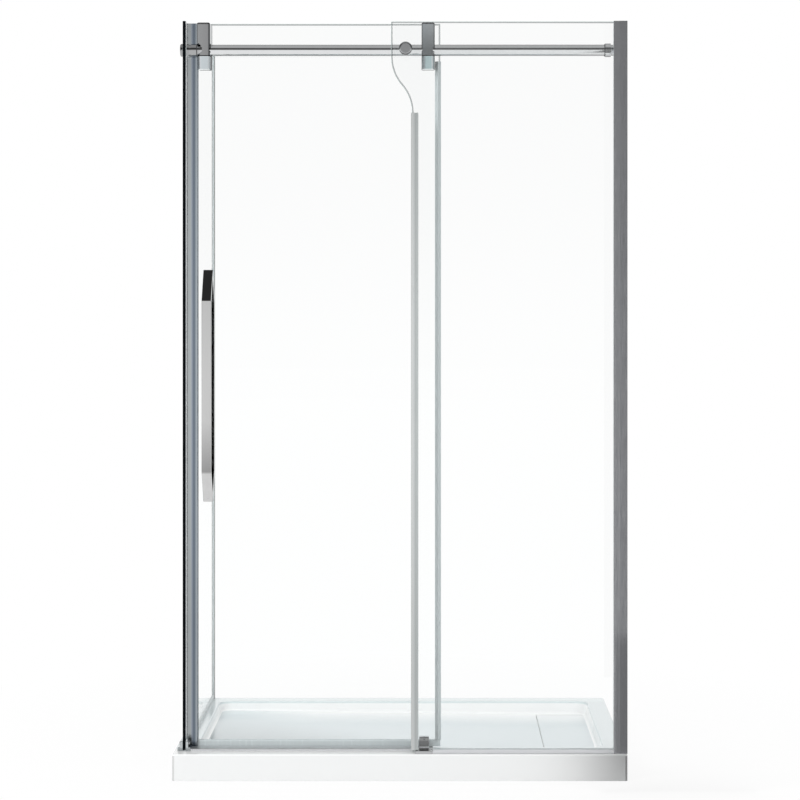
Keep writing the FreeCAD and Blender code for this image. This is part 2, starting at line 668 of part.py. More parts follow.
def return_wall_gasket():
    """Two vinyl wedges that hold the glass in its wall channel."""
    middle = (RETURN_OUTER + RETURN_INNER) / 2
    slot = WALL_CHANNEL_WIDTH / 2 - WALL_CHANNEL_LEG
    y = (BACK - WALL_CHANNEL_DEPTH, BACK - WALL_CHANNEL_WEB - WALL_CHANNEL_GLASS_GAP)
    z = (TRAY_HEIGHT + SEAL_HEIGHT, OVERALL_HEIGHT)
    return [block((middle - slot, RETURN_OUTER), y, z), block((RETURN_INNER, middle + slot), y, z)]


def return_foot_seal():
    """The vinyl strip under the return glass, cut back where the strike stands."""
    x = (RETURN_OUTER - SEAL_LEG, RETURN_INNER + SEAL_LEG)
    y = (RETURN_FRONT + CLAMP_LENGTH, BACK - WALL_CHANNEL_DEPTH)
    z = (TRAY_HEIGHT, TRAY_HEIGHT + SEAL_HEIGHT)
    strip = block(x, y, z)
    strip = strip.makeChamfer(SEAL_LEG / 2, edges_at(strip, "z", z[1]))
    strip = strip.cut(block((RETURN_INNER, x[1]), (y[0], STRIKE_REAR), z))
    return strip.cut(block((RETURN_OUTER, RETURN_INNER), y, (RETURN_FOOT, z[1])))


def clamp_places():
    middle = (RETURN_OUTER + RETURN_INNER) / 2
    x = around(middle, CLAMP_WIDTH)
    front = RETURN_FRONT - CLAMP_FRONT_OVERHANG
    return x, (front, RETURN_FRONT + CLAMP_LENGTH - CLAMP_FRONT_OVERHANG)


def corner_clamp():
    """The chrome foot that grips the front corner of the return glass."""
    x, y = clamp_places()
    base = block(x, y, (TRAY_HEIGHT, TRAY_HEIGHT + CLAMP_BASE_HEIGHT))
    base = base.makeChamfer(CLAMP_EDGE, edges_at(base, "z", TRAY_HEIGHT + CLAMP_BASE_HEIGHT))
    pad = CLAMP_PAD_THICKNESS
    jaw_x = (RETURN_OUTER - pad - CLAMP_JAW_THICKNESS, RETURN_INNER + pad + CLAMP_JAW_THICKNESS)
    jaw = block(jaw_x, y, (TRAY_HEIGHT, TRAY_HEIGHT + CLAMP_JAW_HEIGHT))
    jaw = jaw.makeChamfer(CLAMP_EDGE, edges_at(jaw, "z", TRAY_HEIGHT + CLAMP_JAW_HEIGHT))
    slot_z = (RETURN_FOOT, TRAY_HEIGHT + CLAMP_JAW_HEIGHT)
    slot = block((RETURN_OUTER - pad, RETURN_INNER + pad), y, slot_z)
    middle_y = (y[0] + y[1]) / 2
    height = clamp_screw_height()
    hole = rod("x", CLAMP_SCREW_RADIUS, jaw_x, middle_y, height)
    return join([base, jaw]).cut(slot).cut(hole)


def clamp_screw_height():
    return TRAY_HEIGHT + (CLAMP_BASE_HEIGHT + CLAMP_JAW_HEIGHT) / 2


def corner_clamp_pads():
    x, y = clamp_places()
    pad = CLAMP_PAD_THICKNESS
    pad_y = (RETURN_FRONT + pad, y[1])
    z = (RETURN_FOOT, TRAY_HEIGHT + CLAMP_JAW_HEIGHT - CLAMP_EDGE)
    outer = block((RETURN_OUTER - pad, RETURN_OUTER), pad_y, z)
    inner = block((RETURN_INNER, RETURN_INNER + pad), pad_y, z)
    return [outer, inner]


def corner_clamp_screws():
    x, y = clamp_places()
    middle_y = (y[0] + y[1]) / 2
    height = clamp_screw_height()
    reach = CLAMP_PAD_THICKNESS + CLAMP_JAW_THICKNESS
    screws = []
    for face, side in ((RETURN_OUTER - reach, -1), (RETURN_INNER + reach, 1)):
        screws.append(screw("x", middle_y, height, face, side, CLAMP_SCREW_HEAD_RADIUS,
                            CLAMP_SCREW_HEAD_HEIGHT, CLAMP_SCREW_RADIUS, CLAMP_JAW_THICKNESS))
    return screws


# Strike channel

def strike_channel():
    x = (STRIKE_BACK, STRIKE_MOUTH)
    y = (STRIKE_FRONT, STRIKE_REAR)
    z = (TRAY_HEIGHT, STRIKE_TOP)
    slot = block((x[0] + STRIKE_WALL, x[1]), (y[0] + STRIKE_WALL, y[1] - STRIKE_WALL), z)
    solid = block(x, y, z)
    corners = [e for e in edges_along(solid, "z") if same(e.CenterOfMass.x, x[1])]
    return solid.makeFillet(STRIKE_WALL / 2, corners).cut(slot)


def strike_tape():
    inset = STRIKE_WALL
    return block((RETURN_INNER, STRIKE_BACK), (STRIKE_FRONT + inset, STRIKE_REAR - inset),
                 (TRAY_HEIGHT + SEAL_HEIGHT, STRIKE_TOP))


def strike_bumper():
    """The soft cushion at the bottom of the strike channel, with two lips."""
    x = (STRIKE_BACK + STRIKE_WALL, BUMPER_FACE)
    y = (STRIKE_FRONT + STRIKE_WALL, STRIKE_REAR - STRIKE_WALL)
    z = (TRAY_HEIGHT + THRESHOLD_FLOOR, STRIKE_TOP)
    half_seal = GLASS_THICKNESS / 2 + NOSE_SEAL_LEG + BUMPER_LIP_CLEARANCE
    lip_x = (x[0], x[0] + BUMPER_LIP_REACH)
    return join([
        block(x, y, z),
        block(lip_x, (y[0], DOOR_MIDDLE - half_seal), z),
        block(lip_x, (DOOR_MIDDLE + half_seal, y[1]), z),
    ])


# Fixed glass and its frame

def fixed_glass():
    """The front glass, with an ear at its top left that reaches the rail's knob."""
    offset = FIXED_LEFT - EAR_LEFT
    height = EAR_CURVE_HEIGHT
    radius = (offset ** 2 + height ** 2) / (4 * offset)
    middle = V((EAR_LEFT + FIXED_LEFT) / 2, FIXED_FRONT, (CURVE_TOP + CURVE_FOOT) / 2)
    turn = math.atan2(offset, height)
    swing = radius * (1 - math.cos(turn))
    drop = radius * math.sin(turn)
    upper_mid = V(EAR_LEFT + swing, FIXED_FRONT, CURVE_TOP - drop)
    lower_mid = V(FIXED_LEFT - swing, FIXED_FRONT, CURVE_FOOT + drop)
    top_left = V(EAR_LEFT, FIXED_FRONT, FIXED_TOP)
    ear_foot = V(EAR_LEFT, FIXED_FRONT, CURVE_TOP)
    edge_top = V(FIXED_LEFT, FIXED_FRONT, CURVE_FOOT)
    foot_left = V(FIXED_LEFT, FIXED_FRONT, FIXED_FOOT)
    foot_right = V(FIXED_RIGHT, FIXED_FRONT, FIXED_FOOT)
    top_right = V(FIXED_RIGHT, FIXED_FRONT, FIXED_TOP)
    edges = [
        Part.LineSegment(top_left, ear_foot).toShape(),
        Part.Arc(ear_foot, upper_mid, middle).toShape(),
        Part.Arc(middle, lower_mid, edge_top).toShape(),
        Part.LineSegment(edge_top, foot_left).toShape(),
        Part.LineSegment(foot_left, foot_right).toShape(),
        Part.LineSegment(foot_right, top_right).toShape(),
        Part.LineSegment(top_right, top_left).toShape(),
    ]
    sheet = Part.Face(Part.Wire(edges)).extrude(V(0, GLASS_THICKNESS, 0))
    left_corners = [e for e in edges_along(sheet, "y") if same(e.CenterOfMass.x, EAR_LEFT)]
    sheet = sheet.makeFillet(EAR_TOP_ROUND, [e for e in left_corners if e.CenterOfMass.z > RAIL_Z])
    rims = edges_at(sheet, "y", FIXED_FRONT) + edges_at(sheet, "y", FIXED_BACK)
    sheet = sheet.makeChamfer(GLASS_ARRIS, rims)
    return sheet.cut(rod("y", GLASS_HOLE_RADIUS, (FIXED_FRONT, FIXED_BACK), KNOB_X, RAIL_Z))


def jamb_screw_heights():
    first = TRAY_HEIGHT + JAMB_SCREW_END_DISTANCE
    last = JAMB_TOP - JAMB_SCREW_END_DISTANCE
    return [first + (last - first) * step / (JAMB_SCREW_COUNT - 1) for step in range(JAMB_SCREW_COUNT)]


def jamb_screw_x():
    return RIGHT - JAMB_SCREW_FROM_WALL


def jamb_wall_channel():
    """The outer jamb, screwed to the right wall through its web."""
    x = (RIGHT - JAMB_WALL_LEG_LENGTH, RIGHT)
    y = around(FIXED_MIDDLE, JAMB_DEPTH)
    z = (TRAY_HEIGHT, JAMB_TOP)
    slot = block((x[0], x[1] - JAMB_WEB), (y[0] + JAMB_LEG, y[1] - JAMB_LEG), z)
    channel = block(x, y, z).cut(slot)
    for height in wall_hole_heights():
        channel = channel.cut(rod("x", WALL_HOLE_RADIUS, x, FIXED_MIDDLE, height))
    for height in jamb_screw_heights():
        hole = rod("y", JAMB_SCREW_RADIUS, (FIXED_MIDDLE, y[1]), jamb_screw_x(), height)
        channel = channel.cut(hole)
    return channel


def inner_jamb_y():
    return around(FIXED_MIDDLE, JAMB_DEPTH - 2 * JAMB_LEG - 2 * INNER_JAMB_FIT)


def jamb_adjusting_channel():
    """The inner jamb, which slides in the outer one and grips the glass."""
    x = (JAMB_LEFT, JAMB_LEFT + INNER_JAMB_LENGTH)
    y = inner_jamb_y()
    z = (TRAY_HEIGHT, JAMB_TOP)
    slot = block((x[0], x[1] - INNER_JAMB_LEG), (y[0] + INNER_JAMB_LEG, y[1] - INNER_JAMB_LEG), z)
    channel = block(x, y, z).cut(slot)
    for height in jamb_screw_heights():
        channel = channel.cut(rod("y", JAMB_SCREW_RADIUS, (FIXED_MIDDLE, y[1]), jamb_screw_x(), height))
    return channel


def jamb_gasket():
    """Vinyl strips each side of the glass in the jamb's mouth."""
    x = (JAMB_LEFT, JAMB_LEFT + JAMB_GASKET_DEPTH)
    y = inner_jamb_y()
    z = (TRAY_HEIGHT + SILL_CHANNEL_HEIGHT, JAMB_TOP)
    front = block(x, (y[0] + INNER_JAMB_LEG, FIXED_FRONT), z)
    back = block(x, (FIXED_BACK, y[1] - INNER_JAMB_LEG), z)
    return [front, back]


def jamb_screws():
    face = around(FIXED_MIDDLE, JAMB_DEPTH)[1]
    length = JAMB_LEG + INNER_JAMB_FIT + INNER_JAMB_LEG
    return [
        screw("y", jamb_screw_x(), height, face, 1, JAMB_SCREW_HEAD_RADIUS, JAMB_SCREW_HEAD_HEIGHT,
              JAMB_SCREW_RADIUS, length)
        for height in jamb_screw_heights()
    ]


def sill_places():
    return (GUIDE_RIGHT, JAMB_LEFT), around(FIXED_MIDDLE, SILL_CHANNEL_DEPTH)


def sill_channel():
    """The channel along the tray that the fixed glass stands in."""
    x, y = sill_places()
    z = (TRAY_HEIGHT, TRAY_HEIGHT + SILL_CHANNEL_HEIGHT)
    slot_y = (y[0] + SILL_CHANNEL_LEG, y[1] - SILL_CHANNEL_LEG)
    return block(x, y, z).cut(block(x, slot_y, (z[0] + SILL_CHANNEL_WEB, z[1])))


def sill_gasket():
    x, y = sill_places()
    slot_y = (y[0] + SILL_CHANNEL_LEG, y[1] - SILL_CHANNEL_LEG)
    z = (TRAY_HEIGHT + SILL_CHANNEL_WEB, TRAY_HEIGHT + SILL_CHANNEL_HEIGHT)
    return block(x, slot_y, z).cut(block(x, (FIXED_FRONT, FIXED_BACK), (FIXED_FOOT, z[1])))


def edge_trim():
    """The chrome trim over the free edge of the fixed glass."""
    x0 = FIXED_LEFT - EDGE_TRIM_BOND - EDGE_TRIM_WEB
    x = (x0, x0 + EDGE_TRIM_WIDTH)
    y = around(FIXED_MIDDLE, EDGE_TRIM_DEPTH)
    z = (GUIDE_TOP, CURVE_FOOT)
    trim = block(x, y, z)
    trim = trim.makeFillet(EDGE_TRIM_WEB / 2, edges_along(trim, "z"))
    return trim.cut(block((x[0] + EDGE_TRIM_WEB, x[1]), (FIXED_FRONT, FIXED_BACK), z))


def splash_fin(root_x, root_y, tip_y, z):
    """An upright vinyl blade with a thicker root."""
    half = SPLASH_FIN_THICKNESS / 2
    root = SPLASH_FIN_ROOT / 2
    toward = 1 if tip_y > root_y else -1
    shoulder = root_y + toward * SPLASH_FIN_THICKNESS
    right_side = [(root, root_y), (root, shoulder), (half, shoulder), (half, tip_y)]
    outline = [(root_x + across, y) for across, y in right_side]
    outline += [(root_x - across, y) for across, y in reversed(right_side)]
    return prism(outline, "z", z)


def fixed_splash_fin():
    y0 = around(FIXED_MIDDLE, EDGE_TRIM_DEPTH)[1]
    root_x = FIXED_LEFT + EDGE_TRIM_WIDTH / 2 - EDGE_TRIM_WEB
    return splash_fin(root_x, y0, y0 + SPLASH_FIN_LENGTH, (GUIDE_TOP, CURVE_FOOT))


# Rail

def rail_tube():
    tube = ring("x", RAIL_RADIUS, RAIL_RADIUS - RAIL_WALL, (RAIL_START, RAIL_END), RAIL_Y, RAIL_Z)
    stud_hole = rod("y", STANDOFF_STUD_RADIUS, (RAIL_Y - RAIL_RADIUS, RAIL_Y), KNOB_X, RAIL_Z)
    return tube.cut(stud_hole)


def spigot_radius():
    return RAIL_RADIUS - RAIL_WALL - SPIGOT_FIT


def rail_socket():
    """The left end fitting, inside the return glass, with a spigot in the rail."""
    x0 = RETURN_INNER + FITTING_GASKET
    disc = rod("x", SOCKET_RADIUS, (x0, RAIL_START), RAIL_Y, RAIL_Z)
    spigot = rod("x", spigot_radius(), (RAIL_START, RAIL_START + SPIGOT_LENGTH), RAIL_Y, RAIL_Z)
    bore = rod("x", CAP_BOLT_RADIUS, (x0, RAIL_START + SPIGOT_LENGTH), RAIL_Y, RAIL_Z)
    return join([disc, spigot]).cut(bore)


def rail_cap():
    """The round cap on the outside of the return glass."""
    face = RETURN_OUTER - FITTING_GASKET
    outer = face - CAP_THICKNESS
    cap = rod("x", CAP_RADIUS, (outer, face), RAIL_Y, RAIL_Z)
    cap = cap.makeFillet(CAP_ROUND, edges_at(cap, "x", outer))
    pocket = rod("x", CAP_BOLT_HEAD_RADIUS, (face - CAP_BOLT_HEAD_HEIGHT, face), RAIL_Y, RAIL_Z)
    return cap.cut(pocket)


def rail_bolt():
    """The bolt from the cap's pocket through the glass into the rail's socket."""
    face = RETURN_OUTER - FITTING_GASKET
    head = rod("x", CAP_BOLT_HEAD_RADIUS, (face - CAP_BOLT_HEAD_HEIGHT, face), RAIL_Y, RAIL_Z)
    shank = rod("x", CAP_BOLT_RADIUS, (face, RAIL_START + SPIGOT_LENGTH / 2), RAIL_Y, RAIL_Z)
    return join([head, shank])


def fitting_gaskets():
    """Soft washers where the rail's fittings meet the return and fixed glass."""
    cap_side = (RETURN_OUTER - FITTING_GASKET, RETURN_OUTER)
    socket_side = (RETURN_INNER, RETURN_INNER + FITTING_GASKET)
    knob_side = (FIXED_FRONT - FITTING_GASKET, FIXED_FRONT)
    barrel_side = (FIXED_BACK, FIXED_BACK + FITTING_GASKET)
    return group([
        ring("x", CAP_RADIUS - FITTING_GASKET_INSET, CAP_BOLT_RADIUS, cap_side, RAIL_Y, RAIL_Z),
        ring("x", SOCKET_RADIUS - FITTING_GASKET_INSET, CAP_BOLT_RADIUS, socket_side, RAIL_Y, RAIL_Z),
        ring("y", KNOB_RADIUS - FITTING_GASKET_INSET, STANDOFF_STUD_RADIUS, knob_side, KNOB_X, RAIL_Z),
        ring("y", STANDOFF_RADIUS, STANDOFF_STUD_RADIUS, barrel_side, KNOB_X, RAIL_Z),
    ])


def rail_wall_bracket():
    """The flange on the right wall, with a neck that plugs into the rail."""
    flange_x = (RIGHT - WALL_FLANGE_THICKNESS, RIGHT)
    flange = rod("x", WALL_FLANGE_RADIUS, flange_x, RAIL_Y, RAIL_Z)
    flange = flange.makeChamfer(WALL_FLANGE_EDGE, edges_at(flange, "x", flange_x[0]))
    neck = rod("x", RAIL_NECK_RADIUS, (RAIL_END, flange_x[0]), RAIL_Y, RAIL_Z)
    spigot = rod("x", spigot_radius(), (RAIL_END - SPIGOT_LENGTH, RAIL_END), RAIL_Y, RAIL_Z)
    bracket = join([flange, neck, spigot])
    for step in range(WALL_FLANGE_HOLES):
        angle = math.tau * step / WALL_FLANGE_HOLES + math.pi / 2
        reach = WALL_FLANGE_HOLE_PCD / 2
        bracket = bracket.cut(rod("x", WALL_FLANGE_HOLE_RADIUS, flange_x,
                                  RAIL_Y + reach * math.cos(angle), RAIL_Z + reach * math.sin(angle)))
    return bracket


def stop_places():
    """X spans of the left and right stop collars, from the left hanger and the rail's end."""
    left_end = HANGERS["left"] - HANGER_WIDTH / 2 - CLOSING_GAP - STOP_PAD_THICKNESS
    return {"left": (left_end - STOP_WIDTH, left_end), "right": (RAIL_END - STOP_WIDTH, RAIL_END)}


def rail_stops():
    """The two collars on the rail that end the door's travel."""
    collars = []
    for side, span in stop_places().items():
        radius = STOP_RADII[side]
        collar = ring("x", radius, RAIL_RADIUS, span, RAIL_Y, RAIL_Z)
        hole = rod("z", STOP_SCREW_RADIUS, (RAIL_Z - radius, RAIL_Z), (span[0] + span[1]) / 2, RAIL_Y)
        collars.append(collar.cut(hole))
    return group(collars)


def rail_stop_screws():
    """A grub screw up through the underside of each collar."""
    screws = []
    for side, span in stop_places().items():
        height = (RAIL_Z - STOP_RADII[side], RAIL_Z - RAIL_RADIUS)
        screws.append(rod("z", STOP_SCREW_RADIUS, height, (span[0] + span[1]) / 2, RAIL_Y))
    return group(screws)


def rail_stop_pads():
    """Rubber rings on the faces of the stops that the hangers meet."""
    left_face = stop_places()["left"][1]
    right_face = stop_places()["right"][0]
    outer = min(STOP_RADII.values())
    return group([
        ring("x", outer, RAIL_RADIUS, (left_face, left_face + STOP_PAD_THICKNESS), RAIL_Y, RAIL_Z),
        ring("x", outer, RAIL_RADIUS, (right_face - STOP_PAD_THICKNESS, right_face), RAIL_Y, RAIL_Z),
    ])


def rail_standoff():
    """The barrel between the fixed glass and the rail, saddled to the rail."""
    y = (FIXED_BACK + FITTING_GASKET, RAIL_Y)
    barrel = rod("y", STANDOFF_RADIUS, y, KNOB_X, RAIL_Z)
    rail = rod("x", RAIL_RADIUS, around(KNOB_X, 2 * (STANDOFF_RADIUS + OVERRUN)), RAIL_Y, RAIL_Z)
    return barrel.cut(rail).cut(rod("y", STANDOFF_STUD_RADIUS, y, KNOB_X, RAIL_Z))


def standoff_knob():
    """The round knob on the face of the fixed glass."""
    back = FIXED_FRONT - FITTING_GASKET
    front = back - KNOB_THICKNESS
    knob = rod("y", KNOB_RADIUS, (front, back), KNOB_X, RAIL_Z)
    knob = knob.makeFillet(KNOB_ROUND, edges_at(knob, "y", front))
    return knob.cut(rod("y", STANDOFF_STUD_RADIUS, (back - STANDOFF_STUD_REACH, back), KNOB_X, RAIL_Z))


def standoff_stud():
    start = FIXED_FRONT - FITTING_GASKET - STANDOFF_STUD_REACH
    return rod("y", STANDOFF_STUD_RADIUS, (start, RAIL_Y - RAIL_RADIUS + RAIL_WALL), KNOB_X, RAIL_Z)


# Threshold and guide

def threshold():
    """The low sill bar, with a thin floor and a back lip under the door."""
    front = FRONT + THRESHOLD_SETBACK
    bar_back = front + THRESHOLD_BAR
    clamp_x, clamp_y = clamp_places()
    bar_x = (clamp_x[1] + THRESHOLD_END_GAP, GUIDE_LEFT)
    floor_x = (STRIKE_MOUTH + THRESHOLD_END_GAP, GUIDE_LEFT)
    bar = block(bar_x, (front, bar_back), (TRAY_HEIGHT, TRAY_HEIGHT + THRESHOLD_HEIGHT))
    bar = bar.makeFillet(THRESHOLD_ROUND, edges_at(bar, "z", TRAY_HEIGHT + THRESHOLD_HEIGHT))
    floor = block(floor_x, (bar_back, STRIKE_REAR), (TRAY_HEIGHT, TRAY_HEIGHT + THRESHOLD_FLOOR))
    lip_top = TRAY_HEIGHT + THRESHOLD_FLOOR + THRESHOLD_BACK_LIP
    lip = block(floor_x, (STRIKE_REAR - THRESHOLD_BACK_LIP, STRIKE_REAR), (TRAY_HEIGHT, lip_top))
    return join([bar, floor, lip])


def guide_places():
    """Y places of the guide: base, front block and back block."""
    half = SWEEP_DEPTH / 2 + GUIDE_CLEARANCE
    front_block = (DOOR_MIDDLE - half - GUIDE_BLOCK_FRONT, DOOR_MIDDLE - half)
    back_block = (DOOR_MIDDLE + half, DOOR_MIDDLE + half + GUIDE_BLOCK_BACK)
    return (FIXED_FRONT - GUIDE_FRONT_OVERHANG, back_block[1]), front_block, back_block


def guide_base():
    """The low base that holds the fixed glass's corner and both guide blocks."""
    base_y, front_block, back_block = guide_places()
    x = (GUIDE_LEFT, GUIDE_RIGHT)
    step = front_block[0]
    floor_top = TRAY_HEIGHT + GUIDE_BASE_FLOOR
    high = block(x, (base_y[0], step), (TRAY_HEIGHT, GUIDE_TOP))
    high = high.makeChamfer(GUIDE_EDGE, edges_at(high, "z", GUIDE_TOP))
    low = block(x, (step, base_y[1]), (TRAY_HEIGHT, floor_top))
    groove = block(x, (FIXED_FRONT, FIXED_BACK), (FIXED_FOOT, GUIDE_TOP))
    base = join([high, low]).cut(groove)
    for place in guide_screw_places():
        base = base.cut(rod("z", GUIDE_SCREW_RADIUS, (TRAY_HEIGHT, floor_top), GUIDE_MIDDLE, place))
    return base


def guide_screw_places():
    base_y, front_block, back_block = guide_places()
    return [(front_block[0] + front_block[1]) / 2, (back_block[0] + back_block[1]) / 2]


def guide_block(span, place):
    top = TRAY_HEIGHT + GUIDE_BLOCK_HEIGHT
    foot = TRAY_HEIGHT + GUIDE_BASE_FLOOR
    solid = block(around(GUIDE_MIDDLE, GUIDE_BLOCK_WIDTH), span, (foot, top))
    solid = solid.makeFillet(GUIDE_EDGE, edges_along(solid, "z") + edges_at(solid, "z", top))
    sink = rod("z", GUIDE_SCREW_HEAD_RADIUS, (top - GUIDE_SCREW_SINK, top), GUIDE_MIDDLE, place)
    return solid.cut(sink).cut(rod("z", GUIDE_SCREW_RADIUS, (foot, top), GUIDE_MIDDLE, place))


def guide_block_front():
    return guide_block(guide_places()[1], guide_screw_places()[0])


def guide_block_back():
    return guide_block(guide_places()[2], guide_screw_places()[1])


def guide_screws():
    seat = TRAY_HEIGHT + GUIDE_BLOCK_HEIGHT - GUIDE_SCREW_SINK
    return [
        screw("z", GUIDE_MIDDLE, place, seat, 1, GUIDE_SCREW_HEAD_RADIUS, GUIDE_SCREW_HEAD_HEIGHT,
              GUIDE_SCREW_RADIUS, seat - TRAY_HEIGHT)
        for place in guide_screw_places()
    ]


def frame_screws():
    """The screws of the corner clamp, the jamb and the guide."""
    return group(corner_clamp_screws() + jamb_screws() + guide_screws())


def glazing_gaskets():
    """The vinyl strips and pads that hold the still glass in its channels and clamp."""
    return group(return_wall_gasket() + corner_clamp_pads() + jamb_gasket() + [sill_gasket()])


# Door

def handle_stud_heights():
    """Heights of the two studs, at the middle of each handle foot."""
    half_foot = handle_foot_height() / 2
    return (HANDLE_FOOT + half_foot, HANDLE_TOP - half_foot)


def handle_foot_height():
    """How tall the sloped bar's end is where it meets the glass."""
    return HANDLE_BAR * math.hypot(HANDLE_REACH, HANDLE_SLOPE_HEIGHT) / HANDLE_REACH


def door_glass():
    span = (DOOR_FRONT, DOOR_BACK)
    holes = []
    for x in HANGERS.values():
        for height in HANGER_BOLT_HEIGHTS:
            holes.append(rod("y", DOOR_HOLE_RADIUS, span, x, height))
    for height in handle_stud_heights():
        holes.append(rod("y", DOOR_HOLE_RADIUS, span, HANDLE_X, height))
    return glass_panel((DOOR_LEFT, DOOR_RIGHT), span, (DOOR_FOOT, DOOR_TOP), holes)


def hanger_body(side):
    """The roller housing: a closed box above the rail with a necked front plate."""
    x = HANGERS[side]
    width = around(x, HANGER_WIDTH)
    cavity_foot = RAIL_Z + RAIL_RADIUS + HANGER_RAIL_CLEARANCE
    plate_foot = RAIL_Z - RAIL_RADIUS
    body = block(width, (HANGER_FRONT, HANGER_BACK), (plate_foot, HANGER_TOP))
    top_edges = edges_at(body, "z", HANGER_TOP)
    rounded_edges = [e for e in top_edges if e.CenterOfMass.y < HANGER_BACK - PAD_THICKNESS]
    body = body.makeFillet(HANGER_TOP_ROUND, rounded_edges)
    front_edges = [e for e in edges_along(body, "z") if same(e.CenterOfMass.y, HANGER_FRONT)]
    body = body.makeFillet(HANGER_EDGE_ROUND, front_edges)
    front_wall = (HANGER_FRONT, HANGER_FRONT + HANGER_FRONT_WALL)
    inside_y = (front_wall[1], HANGER_PLATE_FRONT)
    cavity_x = around(x, HANGER_WIDTH - 2 * HANGER_SIDE_WALL)
    body = body.cut(block(cavity_x, inside_y, (plate_foot, HANGER_TOP - HANGER_TOP_WALL)))
    body = body.cut(block(width, inside_y, (plate_foot, cavity_foot)))
    for direction, depth in zip((-1, 1), NECK_NOTCH_DEPTHS[side]):
        notch_x = x + direction * (HANGER_WIDTH / 2 - depth + NECK_NOTCH_RADIUS)
        body = body.cut(rod("y", NECK_NOTCH_RADIUS, front_wall, notch_x, RAIL_Z))
    body = join([body, block(width, (HANGER_PLATE_FRONT, HANGER_BACK), (HANGER_FOOT, plate_foot))])
    axle_seat = (front_wall[1] - AXLE_SEAT_DEPTH, HANGER_PLATE_FRONT + AXLE_SEAT_DEPTH)
    body = body.cut(rod("y", AXLE_RADIUS, axle_seat, x, ROLLER_Z))
    for height in HANGER_BOLT_HEIGHTS:
        body = body.cut(rod("y", HANGER_BOLT_RADIUS, (HANGER_PLATE_FRONT, HANGER_BACK), x, height))
    return body.cut(group(keeper_screw_solids(x)))


def keeper_screw_solids(x):
    """The two countersunk screws from the back of a hanger into its keeper."""
    tip = HANGER_BACK - KEEPER_SCREW_LENGTH
    height = HANGER_FOOT + KEEPER_SCREW_HEIGHT
    screws = []
    for screw_x in around(x, KEEPER_SCREW_SPACING):
        sink = HANGER_BACK - KEEPER_SCREW_RADIUS
        head = Part.makeCone(KEEPER_SCREW_RADIUS, KEEPER_SCREW_HEAD_RADIUS, KEEPER_SCREW_RADIUS,
                             V(screw_x, sink, height), AXES["y"])
        shank = rod("y", KEEPER_SCREW_RADIUS, (tip, sink), screw_x, height)
        screws.append(join([head, shank]))
    return screws


def keeper_block(side):
    """The block under the rail that keeps the door from lifting off."""
    x = HANGERS[side]
    back = HANGER_PLATE_FRONT
    front = back - KEEPER_DEPTH
    top = RAIL_Z - RAIL_RADIUS - KEEPER_CLEARANCE
    outline = [(back, HANGER_FOOT), (front + KEEPER_SLOPE, HANGER_FOOT), (front, top), (back, top)]
    solid = prism(outline, "x", around(x, HANGER_WIDTH - 2 * KEEPER_SIDE_INSET))
    upright = [e for e in solid.Edges if e.BoundBox.ZLength > KEEPER_SLOPE]
    front_edges = [e for e in upright if e.CenterOfMass.y < front + KEEPER_SLOPE]
    solid = solid.makeChamfer(KEEPER_CHAMFER, front_edges)
    return solid.cut(group(keeper_screw_solids(x)))


def keeper_screws():
    return group(keeper_screw_solids(HANGERS["left"]) + keeper_screw_solids(HANGERS["right"]))


def hanger_pads():
    """Rubber pads each side of the glass at both hangers."""
    pads = []
    inset = PLATE_EDGE
    for x in HANGERS.values():
        width = around(x, HANGER_WIDTH - 2 * inset)
        for span in ((HANGER_BACK, DOOR_FRONT), (DOOR_BACK, CLAMP_PLATE_FRONT)):
            pad = block(width, span, (HANGER_FOOT + inset, HANGER_TOP - inset))
            for height in HANGER_BOLT_HEIGHTS:
                pad = pad.cut(rod("y", HANGER_BOLT_RADIUS, span, x, height))
            pads.append(pad)
    return group(pads)


def hanger_clamp_plates():
    """The plates on the inside of the glass that the hanger bolts pull against."""
    span = (CLAMP_PLATE_FRONT, CLAMP_PLATE_BACK)
    plates = []
    for x in HANGERS.values():
        plate = block(around(x, HANGER_WIDTH), span, (HANGER_FOOT, HANGER_TOP))
        plate = plate.makeFillet(CLAMP_PLATE_CORNER, edges_along(plate, "y"))
        plate = plate.makeChamfer(PLATE_EDGE, edges_at(plate, "y", CLAMP_PLATE_BACK))
        for height in HANGER_BOLT_HEIGHTS:
            plate = plate.cut(rod("y", HANGER_BOLT_RADIUS, span, x, height))
        plates.append(plate)
    return group(plates)


def hanger_bolts():
    """Two bolts through the glass at each hanger, with heads on the inside."""
    length = CLAMP_PLATE_BACK - HANGER_PLATE_FRONT
    bolts = []
    for x in HANGERS.values():
        for height in HANGER_BOLT_HEIGHTS:
            bolts.append(screw("y", x, height, CLAMP_PLATE_BACK, 1, HANGER_BOLT_HEAD_RADIUS,
                               HANGER_BOLT_HEAD_HEIGHT, HANGER_BOLT_RADIUS, length))
    return group(bolts)


def roller_span():
    middle = (HANGER_FRONT + HANGER_FRONT_WALL + HANGER_PLATE_FRONT) / 2
    return around(middle, ROLLER_WIDTH)


def roller_axles():
    """The fixed axles, each with a collar at both sides of its roller."""
    front = HANGER_FRONT + HANGER_FRONT_WALL
    back = HANGER_PLATE_FRONT
    wheel = roller_span()
    gap = AXLE_COLLAR_CLEARANCE
    axles = []
    for x in HANGERS.values():
        axles.append(join([
            rod("y", AXLE_RADIUS, (front - AXLE_SEAT_DEPTH, back + AXLE_SEAT_DEPTH), x, ROLLER_Z),
            rod("y", AXLE_COLLAR_RADIUS, (front, wheel[0] - gap), x, ROLLER_Z),
            rod("y", AXLE_COLLAR_RADIUS, (wheel[1] + gap, back), x, ROLLER_Z),
        ]))
    return group(axles)


